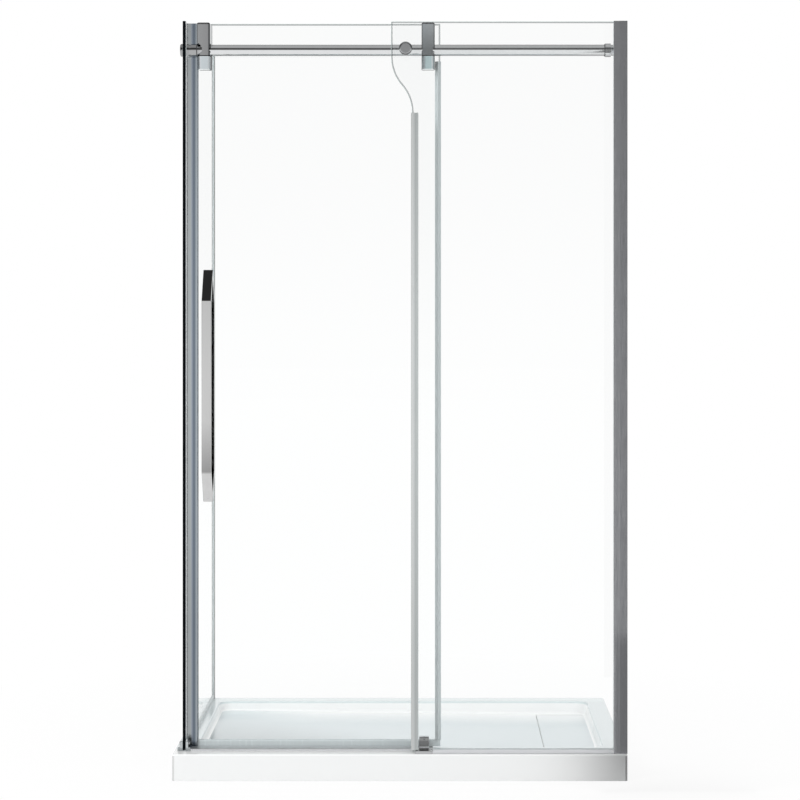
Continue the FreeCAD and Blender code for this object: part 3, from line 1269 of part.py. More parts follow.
def roller(side):
    """A nylon roller whose groove is shaped to the rail."""
    x = HANGERS[side]
    span = roller_span()
    wheel = rod("y", ROLLER_RADIUS, span, x, ROLLER_Z)
    groove_radius = RAIL_RADIUS + ROLLER_RAIL_GAP
    groove = Part.makeTorus(ROLLER_Z - RAIL_Z, groove_radius, V(x, RAIL_Y, ROLLER_Z), AXES["y"])
    return wheel.cut(groove).cut(rod("y", BEARING_RADIUS, span, x, ROLLER_Z))


def roller_bearings(side):
    """Two ball bearing rings pressed into a roller."""
    x = HANGERS[side]
    span = roller_span()
    inner = AXLE_RADIUS + BEARING_FIT
    return group([
        ring("y", BEARING_RADIUS, inner, (span[0], span[0] + BEARING_WIDTH), x, ROLLER_Z),
        ring("y", BEARING_RADIUS, inner, (span[1] - BEARING_WIDTH, span[1]), x, ROLLER_Z),
    ])


def handle(face, side):
    """A flat bar bent to a trapezoid, standing out from a glass face."""
    foot = face + side * HANDLE_WASHER
    out = face + side * HANDLE_REACH
    inner = out - side * HANDLE_BAR
    depth = HANDLE_REACH - HANDLE_WASHER
    slope = HANDLE_SLOPE_HEIGHT / HANDLE_REACH
    foot_height = handle_foot_height()
    inner_bend = foot_height + (depth - HANDLE_BAR) * slope
    end = [(inner, inner_bend), (foot, foot_height), (foot, 0), (out, depth * slope)]
    points = [(y, HANDLE_FOOT + along) for y, along in end]
    points += [(y, HANDLE_TOP - along) for y, along in reversed(end)]
    bar = prism(points, "x", around(HANDLE_X, HANDLE_WIDTH))
    foot_edges = edges_at(bar, "y", foot)
    rims = [e for e in bar.Edges if not any(e.isSame(f) for f in foot_edges)]
    bar = bar.makeFillet(HANDLE_ROUND, rims)
    hole_end = foot + side * HANDLE_STUD_DEPTH
    span = (min(foot, hole_end), max(foot, hole_end))
    for height in handle_stud_heights():
        bar = bar.cut(rod("y", HANDLE_STUD_RADIUS + HANDLE_STUD_FIT, span, HANDLE_X, height))
    return bar


def handle_outside():
    return handle(DOOR_FRONT, -1)


def handle_inside():
    return handle(DOOR_BACK, 1)


def handle_studs():
    """Studs through the glass that join the two handles."""
    reach = HANDLE_WASHER + HANDLE_STUD_DEPTH
    return group([
        rod("y", HANDLE_STUD_RADIUS, (DOOR_FRONT - reach, DOOR_BACK + reach), HANDLE_X, height)
        for height in handle_stud_heights()
    ])


def handle_washers():
    washers = []
    outer = min(HANDLE_WIDTH, handle_foot_height()) / 2 - HANDLE_ROUND
    for height in handle_stud_heights():
        for span in ((DOOR_FRONT - HANDLE_WASHER, DOOR_FRONT), (DOOR_BACK, DOOR_BACK + HANDLE_WASHER)):
            washers.append(ring("y", outer, HANDLE_STUD_RADIUS, span, HANDLE_X, height))
    return group(washers)


def nose_seal():
    """The clear seal on the closing edge, with a round bulb."""
    z = (SWEEP_TOP + SEAL_TO_SWEEP, STRIKE_TOP)
    cuff_end = DOOR_LEFT + NOSE_SEAL_COVER
    cuff_y = (DOOR_FRONT - NOSE_SEAL_LEG, DOOR_BACK + NOSE_SEAL_LEG)
    cuff = block((DOOR_LEFT - NOSE_SEAL_LEG, cuff_end), cuff_y, z)
    cuff = cuff.cut(block((DOOR_LEFT, cuff_end), (DOOR_FRONT, DOOR_BACK), z))
    bulb_x = NOSE_TIP + NOSE_RADIUS
    bulb = rod("z", NOSE_RADIUS, z, bulb_x, DOOR_MIDDLE)
    web = block((bulb_x, DOOR_LEFT - NOSE_SEAL_LEG), around(DOOR_MIDDLE, NOSE_RADIUS), z)
    return join([cuff, bulb, web])


def trailing_seal():
    """The clear seal on the trailing edge, with a blade towards the fixed glass."""
    z = (SWEEP_TOP + SEAL_TO_SWEEP, RAIL_Z - RAIL_RADIUS - TRAIL_SEAL_BELOW_RAIL)
    x = (DOOR_RIGHT + TRAIL_SEAL_WEB - TRAIL_SEAL_WIDTH, DOOR_RIGHT + TRAIL_SEAL_WEB)
    half = GLASS_THICKNESS / 2 + TRAIL_SEAL_LEG
    cuff = block(x, around(DOOR_MIDDLE, 2 * half), z)
    cuff = cuff.cut(block((x[0], DOOR_RIGHT), (DOOR_FRONT, DOOR_BACK), z))
    root = DOOR_MIDDLE - half
    blade = splash_fin((x[0] + x[1]) / 2, root, root - SPLASH_FIN_LENGTH, z)
    return join([cuff, blade])


def door_sweep():
    """The bottom seal, with two soft blades down to the threshold."""
    x = (STRIKE_MOUTH + THRESHOLD_END_GAP, DOOR_RIGHT)
    y = around(DOOR_MIDDLE, SWEEP_DEPTH)
    body = block(x, y, (SWEEP_FOOT, SWEEP_TOP))
    slot = block((x[0], x[1]), (DOOR_FRONT, DOOR_BACK), (DOOR_FOOT, SWEEP_TOP))
    body = body.cut(slot)
    fin_foot = TRAY_HEIGHT + max(THRESHOLD_FLOOR, GUIDE_BASE_FLOOR) + SWEEP_FIN_CLEARANCE
    fins = []
    for start in (y[0], y[1] - SWEEP_FIN_THICKNESS):
        fins.append(block(x, (start, start + SWEEP_FIN_THICKNESS), (fin_foot, SWEEP_FOOT)))
    return join([body] + fins)


SUB_PARTS = [
    tray_shell, support_blocks,
    drain_seal, drain_body, drain_nut, drain_strainer, drain_cover, cover_pads,
    return_glass, return_wall_channel, return_foot_seal, corner_clamp,
    strike_channel, strike_tape, strike_bumper,
    fixed_glass, jamb_wall_channel, jamb_adjusting_channel, sill_channel, edge_trim, fixed_splash_fin,
    rail_tube, rail_socket, rail_cap, rail_bolt, rail_wall_bracket,
    rail_stops, rail_stop_screws, rail_stop_pads, rail_standoff, standoff_knob, standoff_stud,
    fitting_gaskets, glazing_gaskets, frame_screws,
    threshold, guide_base, guide_block_front, guide_block_back,
    door_glass, hanger_pads, hanger_clamp_plates, hanger_bolts, keeper_screws, roller_axles,
    handle_outside, handle_inside, handle_studs, handle_washers,
    nose_seal, trailing_seal, door_sweep,
]
SUB_PARTS_BY_SIDE = [hanger_body, keeper_block, roller, roller_bearings]


def save(name, shape):
    shape.exportStep("parts/" + name + ".step")
    print(name, "solids:", len(shape.Solids), "sound:", shape.isValid())


def main():
    os.makedirs("parts", exist_ok=True)
    for make in SUB_PARTS:
        save(make.__name__, make())
    for make in SUB_PARTS_BY_SIDE:
        for side in HANGERS:
            save(make.__name__ + "_" + side, make(side))


main()
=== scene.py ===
"""Looks for a sliding corner shower door on its own tray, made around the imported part.

+X runs right along the doorway, +Y into the shower and +Z up, in metres.
"""

import math

import bmesh
import bpy
from bpy.props import FloatProperty, FloatVectorProperty, IntProperty, PointerProperty
from bpy.types import Operator, Panel, PropertyGroup
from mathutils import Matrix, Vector


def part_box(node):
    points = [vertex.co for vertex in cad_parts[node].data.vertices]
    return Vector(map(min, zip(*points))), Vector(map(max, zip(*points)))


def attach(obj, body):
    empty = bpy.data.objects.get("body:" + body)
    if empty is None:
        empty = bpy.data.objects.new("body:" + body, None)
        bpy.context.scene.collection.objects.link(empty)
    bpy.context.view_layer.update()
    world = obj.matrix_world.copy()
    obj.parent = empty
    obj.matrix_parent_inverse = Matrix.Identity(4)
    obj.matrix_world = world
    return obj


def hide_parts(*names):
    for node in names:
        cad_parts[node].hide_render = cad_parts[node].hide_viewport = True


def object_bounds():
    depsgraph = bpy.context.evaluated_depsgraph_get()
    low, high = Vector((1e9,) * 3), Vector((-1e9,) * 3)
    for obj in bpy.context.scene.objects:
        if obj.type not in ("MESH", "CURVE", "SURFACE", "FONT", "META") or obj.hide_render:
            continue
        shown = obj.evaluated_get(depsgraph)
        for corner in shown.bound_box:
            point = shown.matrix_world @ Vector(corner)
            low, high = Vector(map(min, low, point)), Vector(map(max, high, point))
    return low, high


bl_info = {
    "name": "Sliding corner shower door",
    "version": (1, 0, 0),
    "blender": (4, 5, 0),
    "location": "3D View > Sidebar > Shower",
    "description": "Finishes a corner shower door's glass, metal, seals and tray, and sets its studio",
    "category": "Object",
}

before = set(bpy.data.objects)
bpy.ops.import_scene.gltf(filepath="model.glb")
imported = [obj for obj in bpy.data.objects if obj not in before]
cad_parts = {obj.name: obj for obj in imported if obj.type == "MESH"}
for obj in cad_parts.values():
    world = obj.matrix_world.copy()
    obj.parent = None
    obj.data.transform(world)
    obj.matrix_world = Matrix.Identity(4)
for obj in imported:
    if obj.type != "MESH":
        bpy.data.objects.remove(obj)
CAD_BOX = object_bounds()
MM = 0.001


def at_node(name):
    """The lowest and highest corners of a node at rest."""
    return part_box(name)


def middle_of(name):
    """The middle of a node at rest."""
    low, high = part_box(name)
    return (low + high) / 2


# What a user would change


def colour(name, description, default):
    """A colour in the panel."""
    return FloatVectorProperty(name=name, description=description, subtype="COLOR",
                               size=3, min=0.0, max=1.0, default=default)


def length(name, description, default):
    """A length in the panel, in metres."""
    return FloatProperty(name=name, description=description, unit="LENGTH", min=0.0, default=default)


class ShowerColours(PropertyGroup):
    """Colours of the finishes."""

    acrylic: colour("Tray acrylic", "Colour of the tray and its cover", (0.86, 0.87, 0.87))
    foam: colour("Foam", "Colour of the blocks under the tray", (0.62, 0.66, 0.7))
    pane: colour("Glass", "Tint that the panes give to what is behind them", (0.993, 0.998, 0.997))
    pane_edge: colour("Glass edge", "Colour of the panes' ground edges", (0.6, 0.67, 0.66))
    # Painted shade: the return pane's edges are near black, unlike the front panes' edges.
    return_edge: colour("Return glass edge", "Colour of the return pane's edges", (0.003, 0.004, 0.005))
    knob: colour("Knob", "Colour of the knob on the fixed pane", (0.5, 0.51, 0.52))
    channel: colour("Wall channel", "Colour of the return pane's wall channel", (0.2, 0.23, 0.22))
    # Painted shade: the wall channel is a near-black copy of the aluminium.
    strike: colour("Strike", "Colour of the strike channel", (0.63, 0.67, 0.7))
    trim: colour("Trim", "Colour of the fixed pane's edge trim", (0.93, 0.95, 0.95))
    # Painted shade: the clamp is a darker copy of the chrome.
    clamp: colour("Clamp chrome", "Colour of the corner clamp", (0.5, 0.53, 0.54))
    chrome: colour("Chrome", "Colour of the rail and its fittings", (0.74, 0.75, 0.76))
    hanger: colour("Hanger chrome", "Colour of the hangers and keepers", (0.6, 0.63, 0.65))
    handle: colour("Handle steel", "Colour of the pull handles", (0.62, 0.62, 0.62))
    aluminium: colour("Aluminium", "Colour of the sill and the threshold", (0.72, 0.73, 0.75))
    jamb: colour("Jamb", "Colour of the wall jamb", (0.68, 0.69, 0.72))
    steel: colour("Steel", "Colour of screws, axles and the waste", (0.58, 0.58, 0.59))
    vinyl: colour("Clear vinyl", "Colour of the seals", (0.56, 0.61, 0.62))
    rubber: colour("Rubber", "Colour of pads and cushions", (0.03, 0.03, 0.032))
    dark_nylon: colour("Guide nylon", "Colour of the guide blocks and the waste nut", (0.12, 0.125, 0.13))
    # Painted highlight: the pale foot painted on the front guide block.
    guide_foot: colour("Guide foot", "Colour of the front guide block's foot", (0.85, 0.87, 0.9))
    white_nylon: colour("Roller nylon", "Colour of the rollers", (0.8, 0.8, 0.79))


class ShowerSizes(PropertyGroup):
    """Sizes of what is made here in place of a plainer solid."""

    seal_lip: length("Seal lip", "Thickness of a seal's thin edge", 0.8 * MM)
    seal_wall: length("Seal wall", "Thickness of a seal's cuff", 1.3 * MM)
    seal_play: length("Seal play", "Gap between a seal and the glass in it", 0.05 * MM)
    pane: length("Pane", "Thickness of the glass", 8.0 * MM)
    rim_width: length("Pane rim", "Width of the darker line along a pane's edges", 3.6 * MM)
    bulb_radius: length("Bulb radius", "Radius of the closing seal's bulb", 3.0 * MM)
    bulb_sides: IntProperty(name="Bulb sides", description="Faces round the closing seal's bulb",
                            min=6, default=20)
    blade_thickness: length("Blade", "Thickness of a splash blade at its root", 1.6 * MM)
    blade_foot: length("Blade foot", "Width of the foot that a splash blade stands on", 7.0 * MM)
    cushion_base: length("Cushion base", "Thickness of the strike cushion's middle", 4.0 * MM)
    # Painted highlight: height of the pale foot painted on the front guide block.
    guide_foot: length("Guide foot", "Height of the front guide block's pale foot", 7 * MM)
    cover_shade: length("Cover shade", "Depth of the soft shade at the drain cover's back", 12 * MM)
    ball_radius: length("Ball radius", "Radius of a bearing's balls", 1.2 * MM)
    race_wall: length("Race wall", "Thickness of a bearing's rings", 0.9 * MM)
    bearing_radius: length("Bearing radius", "Outer radius of a bearing", 8.0 * MM)
    bearing_bore: length("Bearing bore", "Radius of a bearing's bore", 4.05 * MM)
    bearing_width: length("Bearing width", "Width of a bearing", 8.0 * MM)
    ball_count: IntProperty(name="Balls", description="Balls in each bearing", min=3, default=9)


class ShowerStudio(PropertyGroup):
    """Camera, lamps and floor."""

    camera_place: FloatVectorProperty(name="Camera place", description="Where the camera stands",
                                      subtype="TRANSLATION", unit="LENGTH", size=3,
                                      default=(0.0795, -6.124, 1.295))
    lens: FloatProperty(name="Lens", description="Focal length", unit="CAMERA", default=97.875)
    shift: FloatVectorProperty(name="Shift", description="How far the lens is shifted, in frame widths",
                               size=2, default=(-0.0375, -0.13875))
    room_light: FloatProperty(name="Room light", description="Strength of the even light", default=0.74)
    key_power: FloatProperty(name="Key lamp", description="Power of the main lamp", unit="POWER",
                             default=50.0)
    fill_power: FloatProperty(name="Fill lamp", description="Power of the side lamp", unit="POWER",
                              default=10.0)
    card_level: FloatProperty(name="Card", description="Brightness of the card that the jamb mirrors",
                              default=0.19)
    floor_size: length("Floor", "Width of the floor", 60.0)


# Shader parts

WHITE = (1.0, 1.0, 1.0)

# Most of a noise pattern lies between these

PATTERN_MIDDLE = (0.3, 0.7)

# How far a face's normal reaches along an axis: where it starts to count, and where it counts in full. The
# first four pick the faces for painted shade and painted reflections.

TOP_FACES = ("Z", 0.25, 0.4)
UNDER_FACES = ("Z", -0.74, -0.9)
FRONT_FACES = ("Y", -0.3, -0.6)
KNOB_UNDER_FACES = ("Z", -0.1, -0.6)
SQUARE_ON = 0.95


def feed(tree, socket, value):
    """Links a socket to another one, or sets it. A colour is given as three numbers."""
    if isinstance(value, bpy.types.NodeSocket):
        tree.links.new(value, socket)
    elif socket.type == "RGBA":
        socket.default_value = (*value[:3], 1.0)
    else:
        socket.default_value = value


def add_node(tree, kind, settings=(), **links):
    """Adds a node, sets its options, and links or sets its inputs by name."""
    node = tree.nodes.new(kind)
    for option, value in dict(settings).items():
        setattr(node, option, value)
    for name, value in links.items():
        feed(tree, node.inputs[name.replace("_", " ")], value)
    return node


def empty_tree(holder):
    """The cleared node tree of a material or a world."""
    holder.use_nodes = True
    holder.node_tree.nodes.clear()
    return holder.node_tree


def new_shader(name, **settings):
    """A new material with one main shader. Returns the material, its node tree and the shader."""
    material = bpy.data.materials.new(name)
    tree = empty_tree(material)
    shader = add_node(tree, "ShaderNodeBsdfPrincipled", **settings)
    add_node(tree, "ShaderNodeOutputMaterial", Surface=shader.outputs["BSDF"])
    return material, tree, shader


def texture_place(tree, kind="Object"):
    """A texture coordinate, such as the place on a piece in metres, or the way that a face looks."""
    return add_node(tree, "ShaderNodeTexCoord").outputs[kind]


def axes_of(tree, kind):
    """The X, Y and Z of a texture coordinate."""
    return add_node(tree, "ShaderNodeSeparateXYZ", Vector=texture_place(tree, kind)).outputs


def object_place(tree, stretch=(1.0, 1.0, 1.0)):
    """The place on the piece in metres, stretched along its axes."""
    return add_node(tree, "ShaderNodeMapping", Vector=texture_place(tree), Scale=stretch).outputs["Vector"]


def cloud(tree, place, scale, detail=4.0):
    """Soft random patches from 0 to 1. The scale is how many fit in a metre."""
    return add_node(tree, "ShaderNodeTexNoise", Vector=place, Scale=scale, Detail=detail).outputs["Fac"]


def ranged(tree, value, start, end, low=0.0, high=1.0):
    """Takes a value between start and end to one between low and high."""
    node = add_node(tree, "ShaderNodeMapRange", Value=value)
    for socket, number in zip(node.inputs[1:5], (start, end, low, high)):
        socket.default_value = number
    return node.outputs["Result"]


def rise_of(tree, kind, axis, start, end):
    """0 where a texture coordinate is at the start along an axis, and 1 at the end."""
    return ranged(tree, axes_of(tree, kind)[axis], start, end)


def maths(tree, operation, *values):
    """The result of one operation on numbers or sockets."""
    node = add_node(tree, "ShaderNodeMath", {"operation": operation})
    for socket, value in zip(node.inputs, values):
        feed(tree, socket, value)
    return node.outputs["Value"]


def is_over(tree, value, limit):
    """1 where a value is over a limit and 0 elsewhere."""
    return maths(tree, "GREATER_THAN", value, limit)


def is_under(tree, value, limit):
    """1 where a value is under a limit and 0 elsewhere."""
    return maths(tree, "LESS_THAN", value, limit)


def size_of(tree, value):
    """A value without its sign."""
    return maths(tree, "ABSOLUTE", value)


def rest_of(tree, share):
    """What a share leaves."""
    return maths(tree, "SUBTRACT", 1.0, share)


def all_of(tree, share, *others):
    """Where all the shares hold together."""
    for other in others:
        share = maths(tree, "MULTIPLY", share, other)
    return share


def any_of(tree, share, *others):
    """Where at least one of the shares holds."""
    for other in others:
        share = maths(tree, "MAXIMUM", share, other)
    return share


def blend_colours(tree, share, first, second):
    """Mixes two colours, or colour sockets, by a share."""
    node = add_node(tree, "ShaderNodeMix", {"data_type": "RGBA"})
    feed(tree, node.inputs[0], share)
    for socket, value in zip([s for s in node.inputs if s.type == "RGBA"], (first, second)):
        feed(tree, socket, value)
    return next(s for s in node.outputs if s.type == "RGBA")


def blend_shaders(tree, share, first, second):
    """Mixes the shaders of two nodes by a share."""
    mixed = tree.nodes.new("ShaderNodeMixShader")
    for socket, source in zip(mixed.inputs, (share, first.outputs[0], second.outputs[0])):
        tree.links.new(source, socket)
    return mixed


def shade(base, by):
    """A colour made darker or lighter."""
    return tuple(min(1.0, channel * by) for channel in base)


def cool(base, shares):
    """A colour whose channels each keep their own share."""
    return tuple(channel * share for channel, share in zip(base, shares))


def mottled(tree, pattern, base, low, high):
    """A colour whose brightness goes from a low to a high share as a pattern rises."""
    return blend_colours(tree, pattern, shade(base, low), shade(base, high))


def tinted(tree, first, second):
    """One colour multiplied by another."""
    mixed = blend_colours(tree, 1.0, first, second)
    mixed.node.blend_type = "MULTIPLY"
    return mixed


def paint(tree, shader, tone, pattern, smoothest, roughest):
    """Gives a shader its colour, and a roughness that follows the middle of a pattern's range."""
    feed(tree, shader.inputs["Base Color"], tone)
    feed(tree, shader.inputs["Roughness"], ranged(tree, pattern, *PATTERN_MIDDLE, smoothest, roughest))


def relief(tree, shader, height, depth, strength):
    """Gives a shader fine relief from a height."""
    bump = add_node(tree, "ShaderNodeBump", Height=height, Distance=depth, Strength=strength)
    tree.links.new(bump.outputs["Normal"], shader.inputs["Normal"])


def tone_ramp(tree, value, stops):
    """Colours that a value picks from stops of place and colour."""
    ramp = add_node(tree, "ShaderNodeValToRGB", Fac=value)
    points = ramp.color_ramp.elements
    while len(points) < len(stops):
        points.new(1.0)
    for point, (place, tone) in zip(points, stops):
        point.position = place
        point.color = (*tone, 1.0)
    return ramp.outputs["Color"]


def greys(*stops):
    """Stops of place and grey level as stops of place and colour."""
    return [(place, (level,) * 3) for place, level in stops]


def painted_metal_light(tree, plain, across=None, along=None, top=None, under=None, front=None):
    """Paints reflections and shade onto a metal's colour. Across and along are two places, along X and Z,
    and the painted reflection bands between them. Top, under and front are the shares of painted shade
    left on faces that look there."""
    for axis, painted_light in (("X", across), ("Z", along)):
        if painted_light:
            start, end, stops = painted_light
            plain = tinted(tree, plain, tone_ramp(tree, rise_of(tree, "Object", axis, start, end), stops))
    for share, faces in ((top, TOP_FACES), (under, UNDER_FACES), (front, FRONT_FACES)):
        if share:
            turned = rise_of(tree, "Normal", *faces)
            plain = tinted(tree, plain, blend_colours(tree, turned, WHITE, (share,) * 3))
    return plain


def facing(tree, axis):
    """1 on the faces that lie square to an axis and 0 elsewhere."""
    return is_over(tree, size_of(tree, axes_of(tree, "Normal")[axis]), SQUARE_ON)


# Finishes

# Painted reflection bands and painted shade across or along a piece: a place from 0 to 1, and the share of
# its colour that it keeps there.
# A fade is two heights on the piece and the painted shade between them.

STRIKE_PAINTED_REFLECTIONS = (
    (0.0, (0.97, 0.97, 0.95)), (0.3, (1.0, 1.0, 0.98)), (0.42, (0.8, 0.84, 0.93)),
    (0.55, (0.42, 0.47, 0.55)), (0.72, (0.4, 0.46, 0.53)), (0.84, (0.88, 0.92, 0.96)),
    (1.0, (0.95, 0.97, 1.0)),
)
TRIM_PAINTED_REFLECTIONS = (
    (0.0, (0.92, 0.95, 0.94)), (0.12, (1.0, 1.0, 1.0)), (0.4, (0.9, 0.92, 0.92)),
    (0.62, (0.73, 0.75, 0.75)), (1.0, (0.83, 0.87, 0.87)),
)
HANGER_PAINTED_REFLECTIONS = {
    "left": ((0.0, (0.9, 0.9, 0.9)), (0.14, (1.0, 0.97, 0.95)), (0.84, (0.9, 0.86, 0.85)),
             (0.9, (0.3, 0.3, 0.3)), (1.0, (0.35, 0.35, 0.36))),
    "right": ((0.0, (0.45, 0.45, 0.45)), (0.1, (0.95, 0.98, 1.0)), (0.9, (1.0, 1.0, 1.0)),
              (0.95, (0.4, 0.42, 0.42)), (1.0, (0.4, 0.4, 0.4))),
}
HANGER_PAINTED_SHADE = {"left": 0.9, "right": 0.42}
KEEPER_PAINTED_REFLECTIONS = {
    "left": ((0.0, (0.75, 0.8, 0.84)), (0.18, (1.0, 1.0, 1.0)), (0.3, (0.93, 0.96, 0.97)),
             (0.82, (0.9, 0.93, 0.94)), (0.88, (1.0, 1.0, 1.0)), (1.0, (0.5, 0.54, 0.56))),
    "right": ((0.0, (0.5, 0.54, 0.55)), (0.24, (0.5, 0.55, 0.56)), (0.32, (0.64, 0.76, 0.76)),
              (0.76, (0.68, 0.8, 0.8)), (0.84, (1.0, 1.0, 1.0)), (0.92, (0.55, 0.62, 0.62)),
              (1.0, (0.5, 0.56, 0.56))),
}
HANDLE_PAINTED_REFLECTIONS = greys((0.0, 1.0), (0.125, 1.0), (0.135, 0.52), (0.35, 0.95), (0.6, 1.0), (1.0, 1.0))
STUD_PAINTED_SHADE = greys((0.4, 1.0), (0.6, 0.06))
RAIL_PAINTED_SHADE = greys((0.0, 0.55), (1.0, 1.0))
STRIKE_PAINTED_SHADE = (0.4, 1.9, greys((0.0, 0.55), (1.0, 1.0)))
TRIM_PAINTED_SHADE = (0.3, 1.7, greys((0.0, 0.6), (1.0, 1.0)))
BASIN_PAINTED_SHADE = greys((0.0, 0.66), (0.1, 0.7), (0.38, 0.79), (0.66, 0.9), (0.87, 0.98), (1.0, 1.0))
CORNER_PAINTED_SHADE = greys((0.0, 0.66), (1.0, 0.5))

# Painted shade along the panes' rims, the look of their edges, and the painted shade along the drain cover

PANE_RIM_PAINTED_SHADE = (0.45, 0.465, 0.465)
PANE_SHINE = 0.5
PANE_EDGE_ROUGHNESS = 0.3
COVER_SHADE_TINT = (0.72, 0.74, 0.75)

# Painted light and shade: shares of a colour that one piece, or one side of it, keeps, as lit and shaded
# copies of a finish

THRESHOLD_PAINTED_LIGHT = 1.3
RAIL_END_PAINTED_SHADE = 0.5
RAIL_UNDER_PAINTED_SHADE = 0.42
KNOB_UNDER_PAINTED_SHADE = 0.2
HANGER_TOP_PAINTED_SHADE = 0.35
GUIDE_PAINTED_SHADE = 0.62
HANDLE_TOP_PAINTED_SHADE = 0.07
INSIDE_HANDLE_PAINTED_SHADE = 0.12
TRAILING_PAINTED_LIGHT = 1.08
SWEEP_PAINTED_LIGHT = 1.14

# Painted light and shade: shares of the acrylic's colour that parts of the tray keep

BASIN_WALL_PAINTED_LIGHT = 1.12
COVE_PAINTED_LIGHT = 1.08
FRONT_PAINTED_SHADE = 0.89
FLOOR_PAINTED_SHADE = (0.75, 0.83, 0.86)
RIM_PAINTED_SHADE = (0.81, 0.87, 0.89)
BACK_RIM_PAINTED_SHADE = (0.87, 0.94, 0.95)

# Where those parts lie, from the tray's own edges

FLOOR_DROP = 6 * MM
FRONT_DEPTH = 10 * MM
CORNER_REACH = 15 * MM
RIM_WIDTH = 70 * MM
COVE_FROM_BACK = (240 * MM, 70 * MM)
COVE_FROM_LEFT = (120 * MM, 350 * MM)
CORNER_SPAN = (-0.5, 0.5)

# The painted shade on the basin's floor deepens along this line across the tray, between these two places
# on it

BASIN_SLANT = (1.0, 1.5, 0.0)
BASIN_SPAN = (-0.6, 0.0)

# How far the normals of those parts reach

LEVEL = 0.97
SLOPING = 0.08
FRONT_FACE = -0.9
ROUND_FACE = (0.25, 0.97)
UPRIGHT = 0.2


def basin_floor(tree, base, low, high):
    """A floor with a cool painted shade that deepens to the front left, and painted light where it rounds
    up into the back wall.
    """
    slant = add_node(tree, "ShaderNodeVectorMath", {"operation": "DOT_PRODUCT"})
    feed(tree, slant.inputs[0], texture_place(tree))
    feed(tree, slant.inputs[1], BASIN_SLANT)
    depth = ranged(tree, slant.outputs["Value"], *BASIN_SPAN)
    floor = tinted(tree, cool(base, FLOOR_PAINTED_SHADE), tone_ramp(tree, depth, BASIN_PAINTED_SHADE))
    back = rise_of(tree, "Object", "Y", *(high.y - inward for inward in COVE_FROM_BACK))
    left = rise_of(tree, "Object", "X", *(low.x + inward for inward in COVE_FROM_LEFT))
    return blend_colours(tree, all_of(tree, back, left), floor, shade(base, COVE_PAINTED_LIGHT))


def tray_parts(tree, base):
    """The parts of the tray and the painted light and shade on each, in the order in which they are laid
    over each other.
    """
    low, high = at_node("tray_shell")
    place = axes_of(tree, "Object")
    looks = axes_of(tree, "Normal")
    level = is_over(tree, looks["Z"], LEVEL)
    sunk = is_under(tree, place["Z"], high.z - FLOOR_DROP)
    wall = all_of(tree, is_over(tree, looks["Z"], SLOPING), rest_of(tree, level), sunk)
    rim = all_of(tree, rest_of(tree, sunk), is_over(tree, place["Y"], low.y + RIM_WIDTH))
    back_rim = all_of(tree, rim, is_over(tree, place["Y"], high.y - RIM_WIDTH))
    front = all_of(tree, is_under(tree, looks["Y"], FRONT_FACE),
                   is_under(tree, place["Y"], low.y + FRONT_DEPTH))
    aside = size_of(tree, looks["X"])
    squarest, roundest = ROUND_FACE
    corner = all_of(tree, is_over(tree, aside, squarest), is_under(tree, aside, roundest),
                    is_under(tree, looks["Z"], UPRIGHT),
                    is_over(tree, size_of(tree, place["X"]), high.x - CORNER_REACH))
    corner_shade = tone_ramp(tree, rise_of(tree, "Object", "X", *CORNER_SPAN), CORNER_PAINTED_SHADE)
    # Painted light on the basin's sloped walls; painted shade on its floor, the rim, the front face and
    # the end corners.
    return (
        (wall, shade(base, BASIN_WALL_PAINTED_LIGHT)),
        (all_of(tree, level, sunk), basin_floor(tree, base, low, high)),
        (rim, cool(base, RIM_PAINTED_SHADE)),
        (back_rim, cool(base, BACK_RIM_PAINTED_SHADE)),
        (front, shade(base, FRONT_PAINTED_SHADE)),
        (corner, tinted(tree, base, corner_shade)),
    )


def border_of(tree, low, high, deep):
    """1 at a piece's edges, falling to 0 at a depth in from its front and back, and a third of that
    in from its sides."""
    wide = deep / 3
    sides = (("X", low.x, wide), ("X", high.x, -wide), ("Y", low.y, deep), ("Y", high.y, -deep))
    shares = [rise_of(tree, "Object", axis, side + inward, side) for axis, side, inward in sides]
    return any_of(tree, *shares)


def acrylic(name, base, border=None):
    """Glossy sheet acrylic with a faint orange peel, and painted light and shade on the tray's parts. A
    border is a piece's two corners and the depth of the painted soft shade along its edges."""
    material, tree, shader = new_shader(name, Coat_Weight=0.25, Coat_Roughness=0.06, IOR=1.49)
    plain = mottled(tree, cloud(tree, object_place(tree), scale=5.0), base, low=0.985, high=1.01)
    for share, tone in tray_parts(tree, base):
        plain = blend_colours(tree, share, plain, tone)
    if border:
        plain = tinted(tree, plain, blend_colours(tree, border_of(tree, *border), WHITE, COVER_SHADE_TINT))
    paint(tree, shader, plain, cloud(tree, object_place(tree), scale=22.0), smoothest=0.128, roughest=0.2)
    peel = cloud(tree, object_place(tree), scale=180.0, detail=2.0)
    relief(tree, shader, peel, depth=0.03 * MM, strength=0.04)
    return material


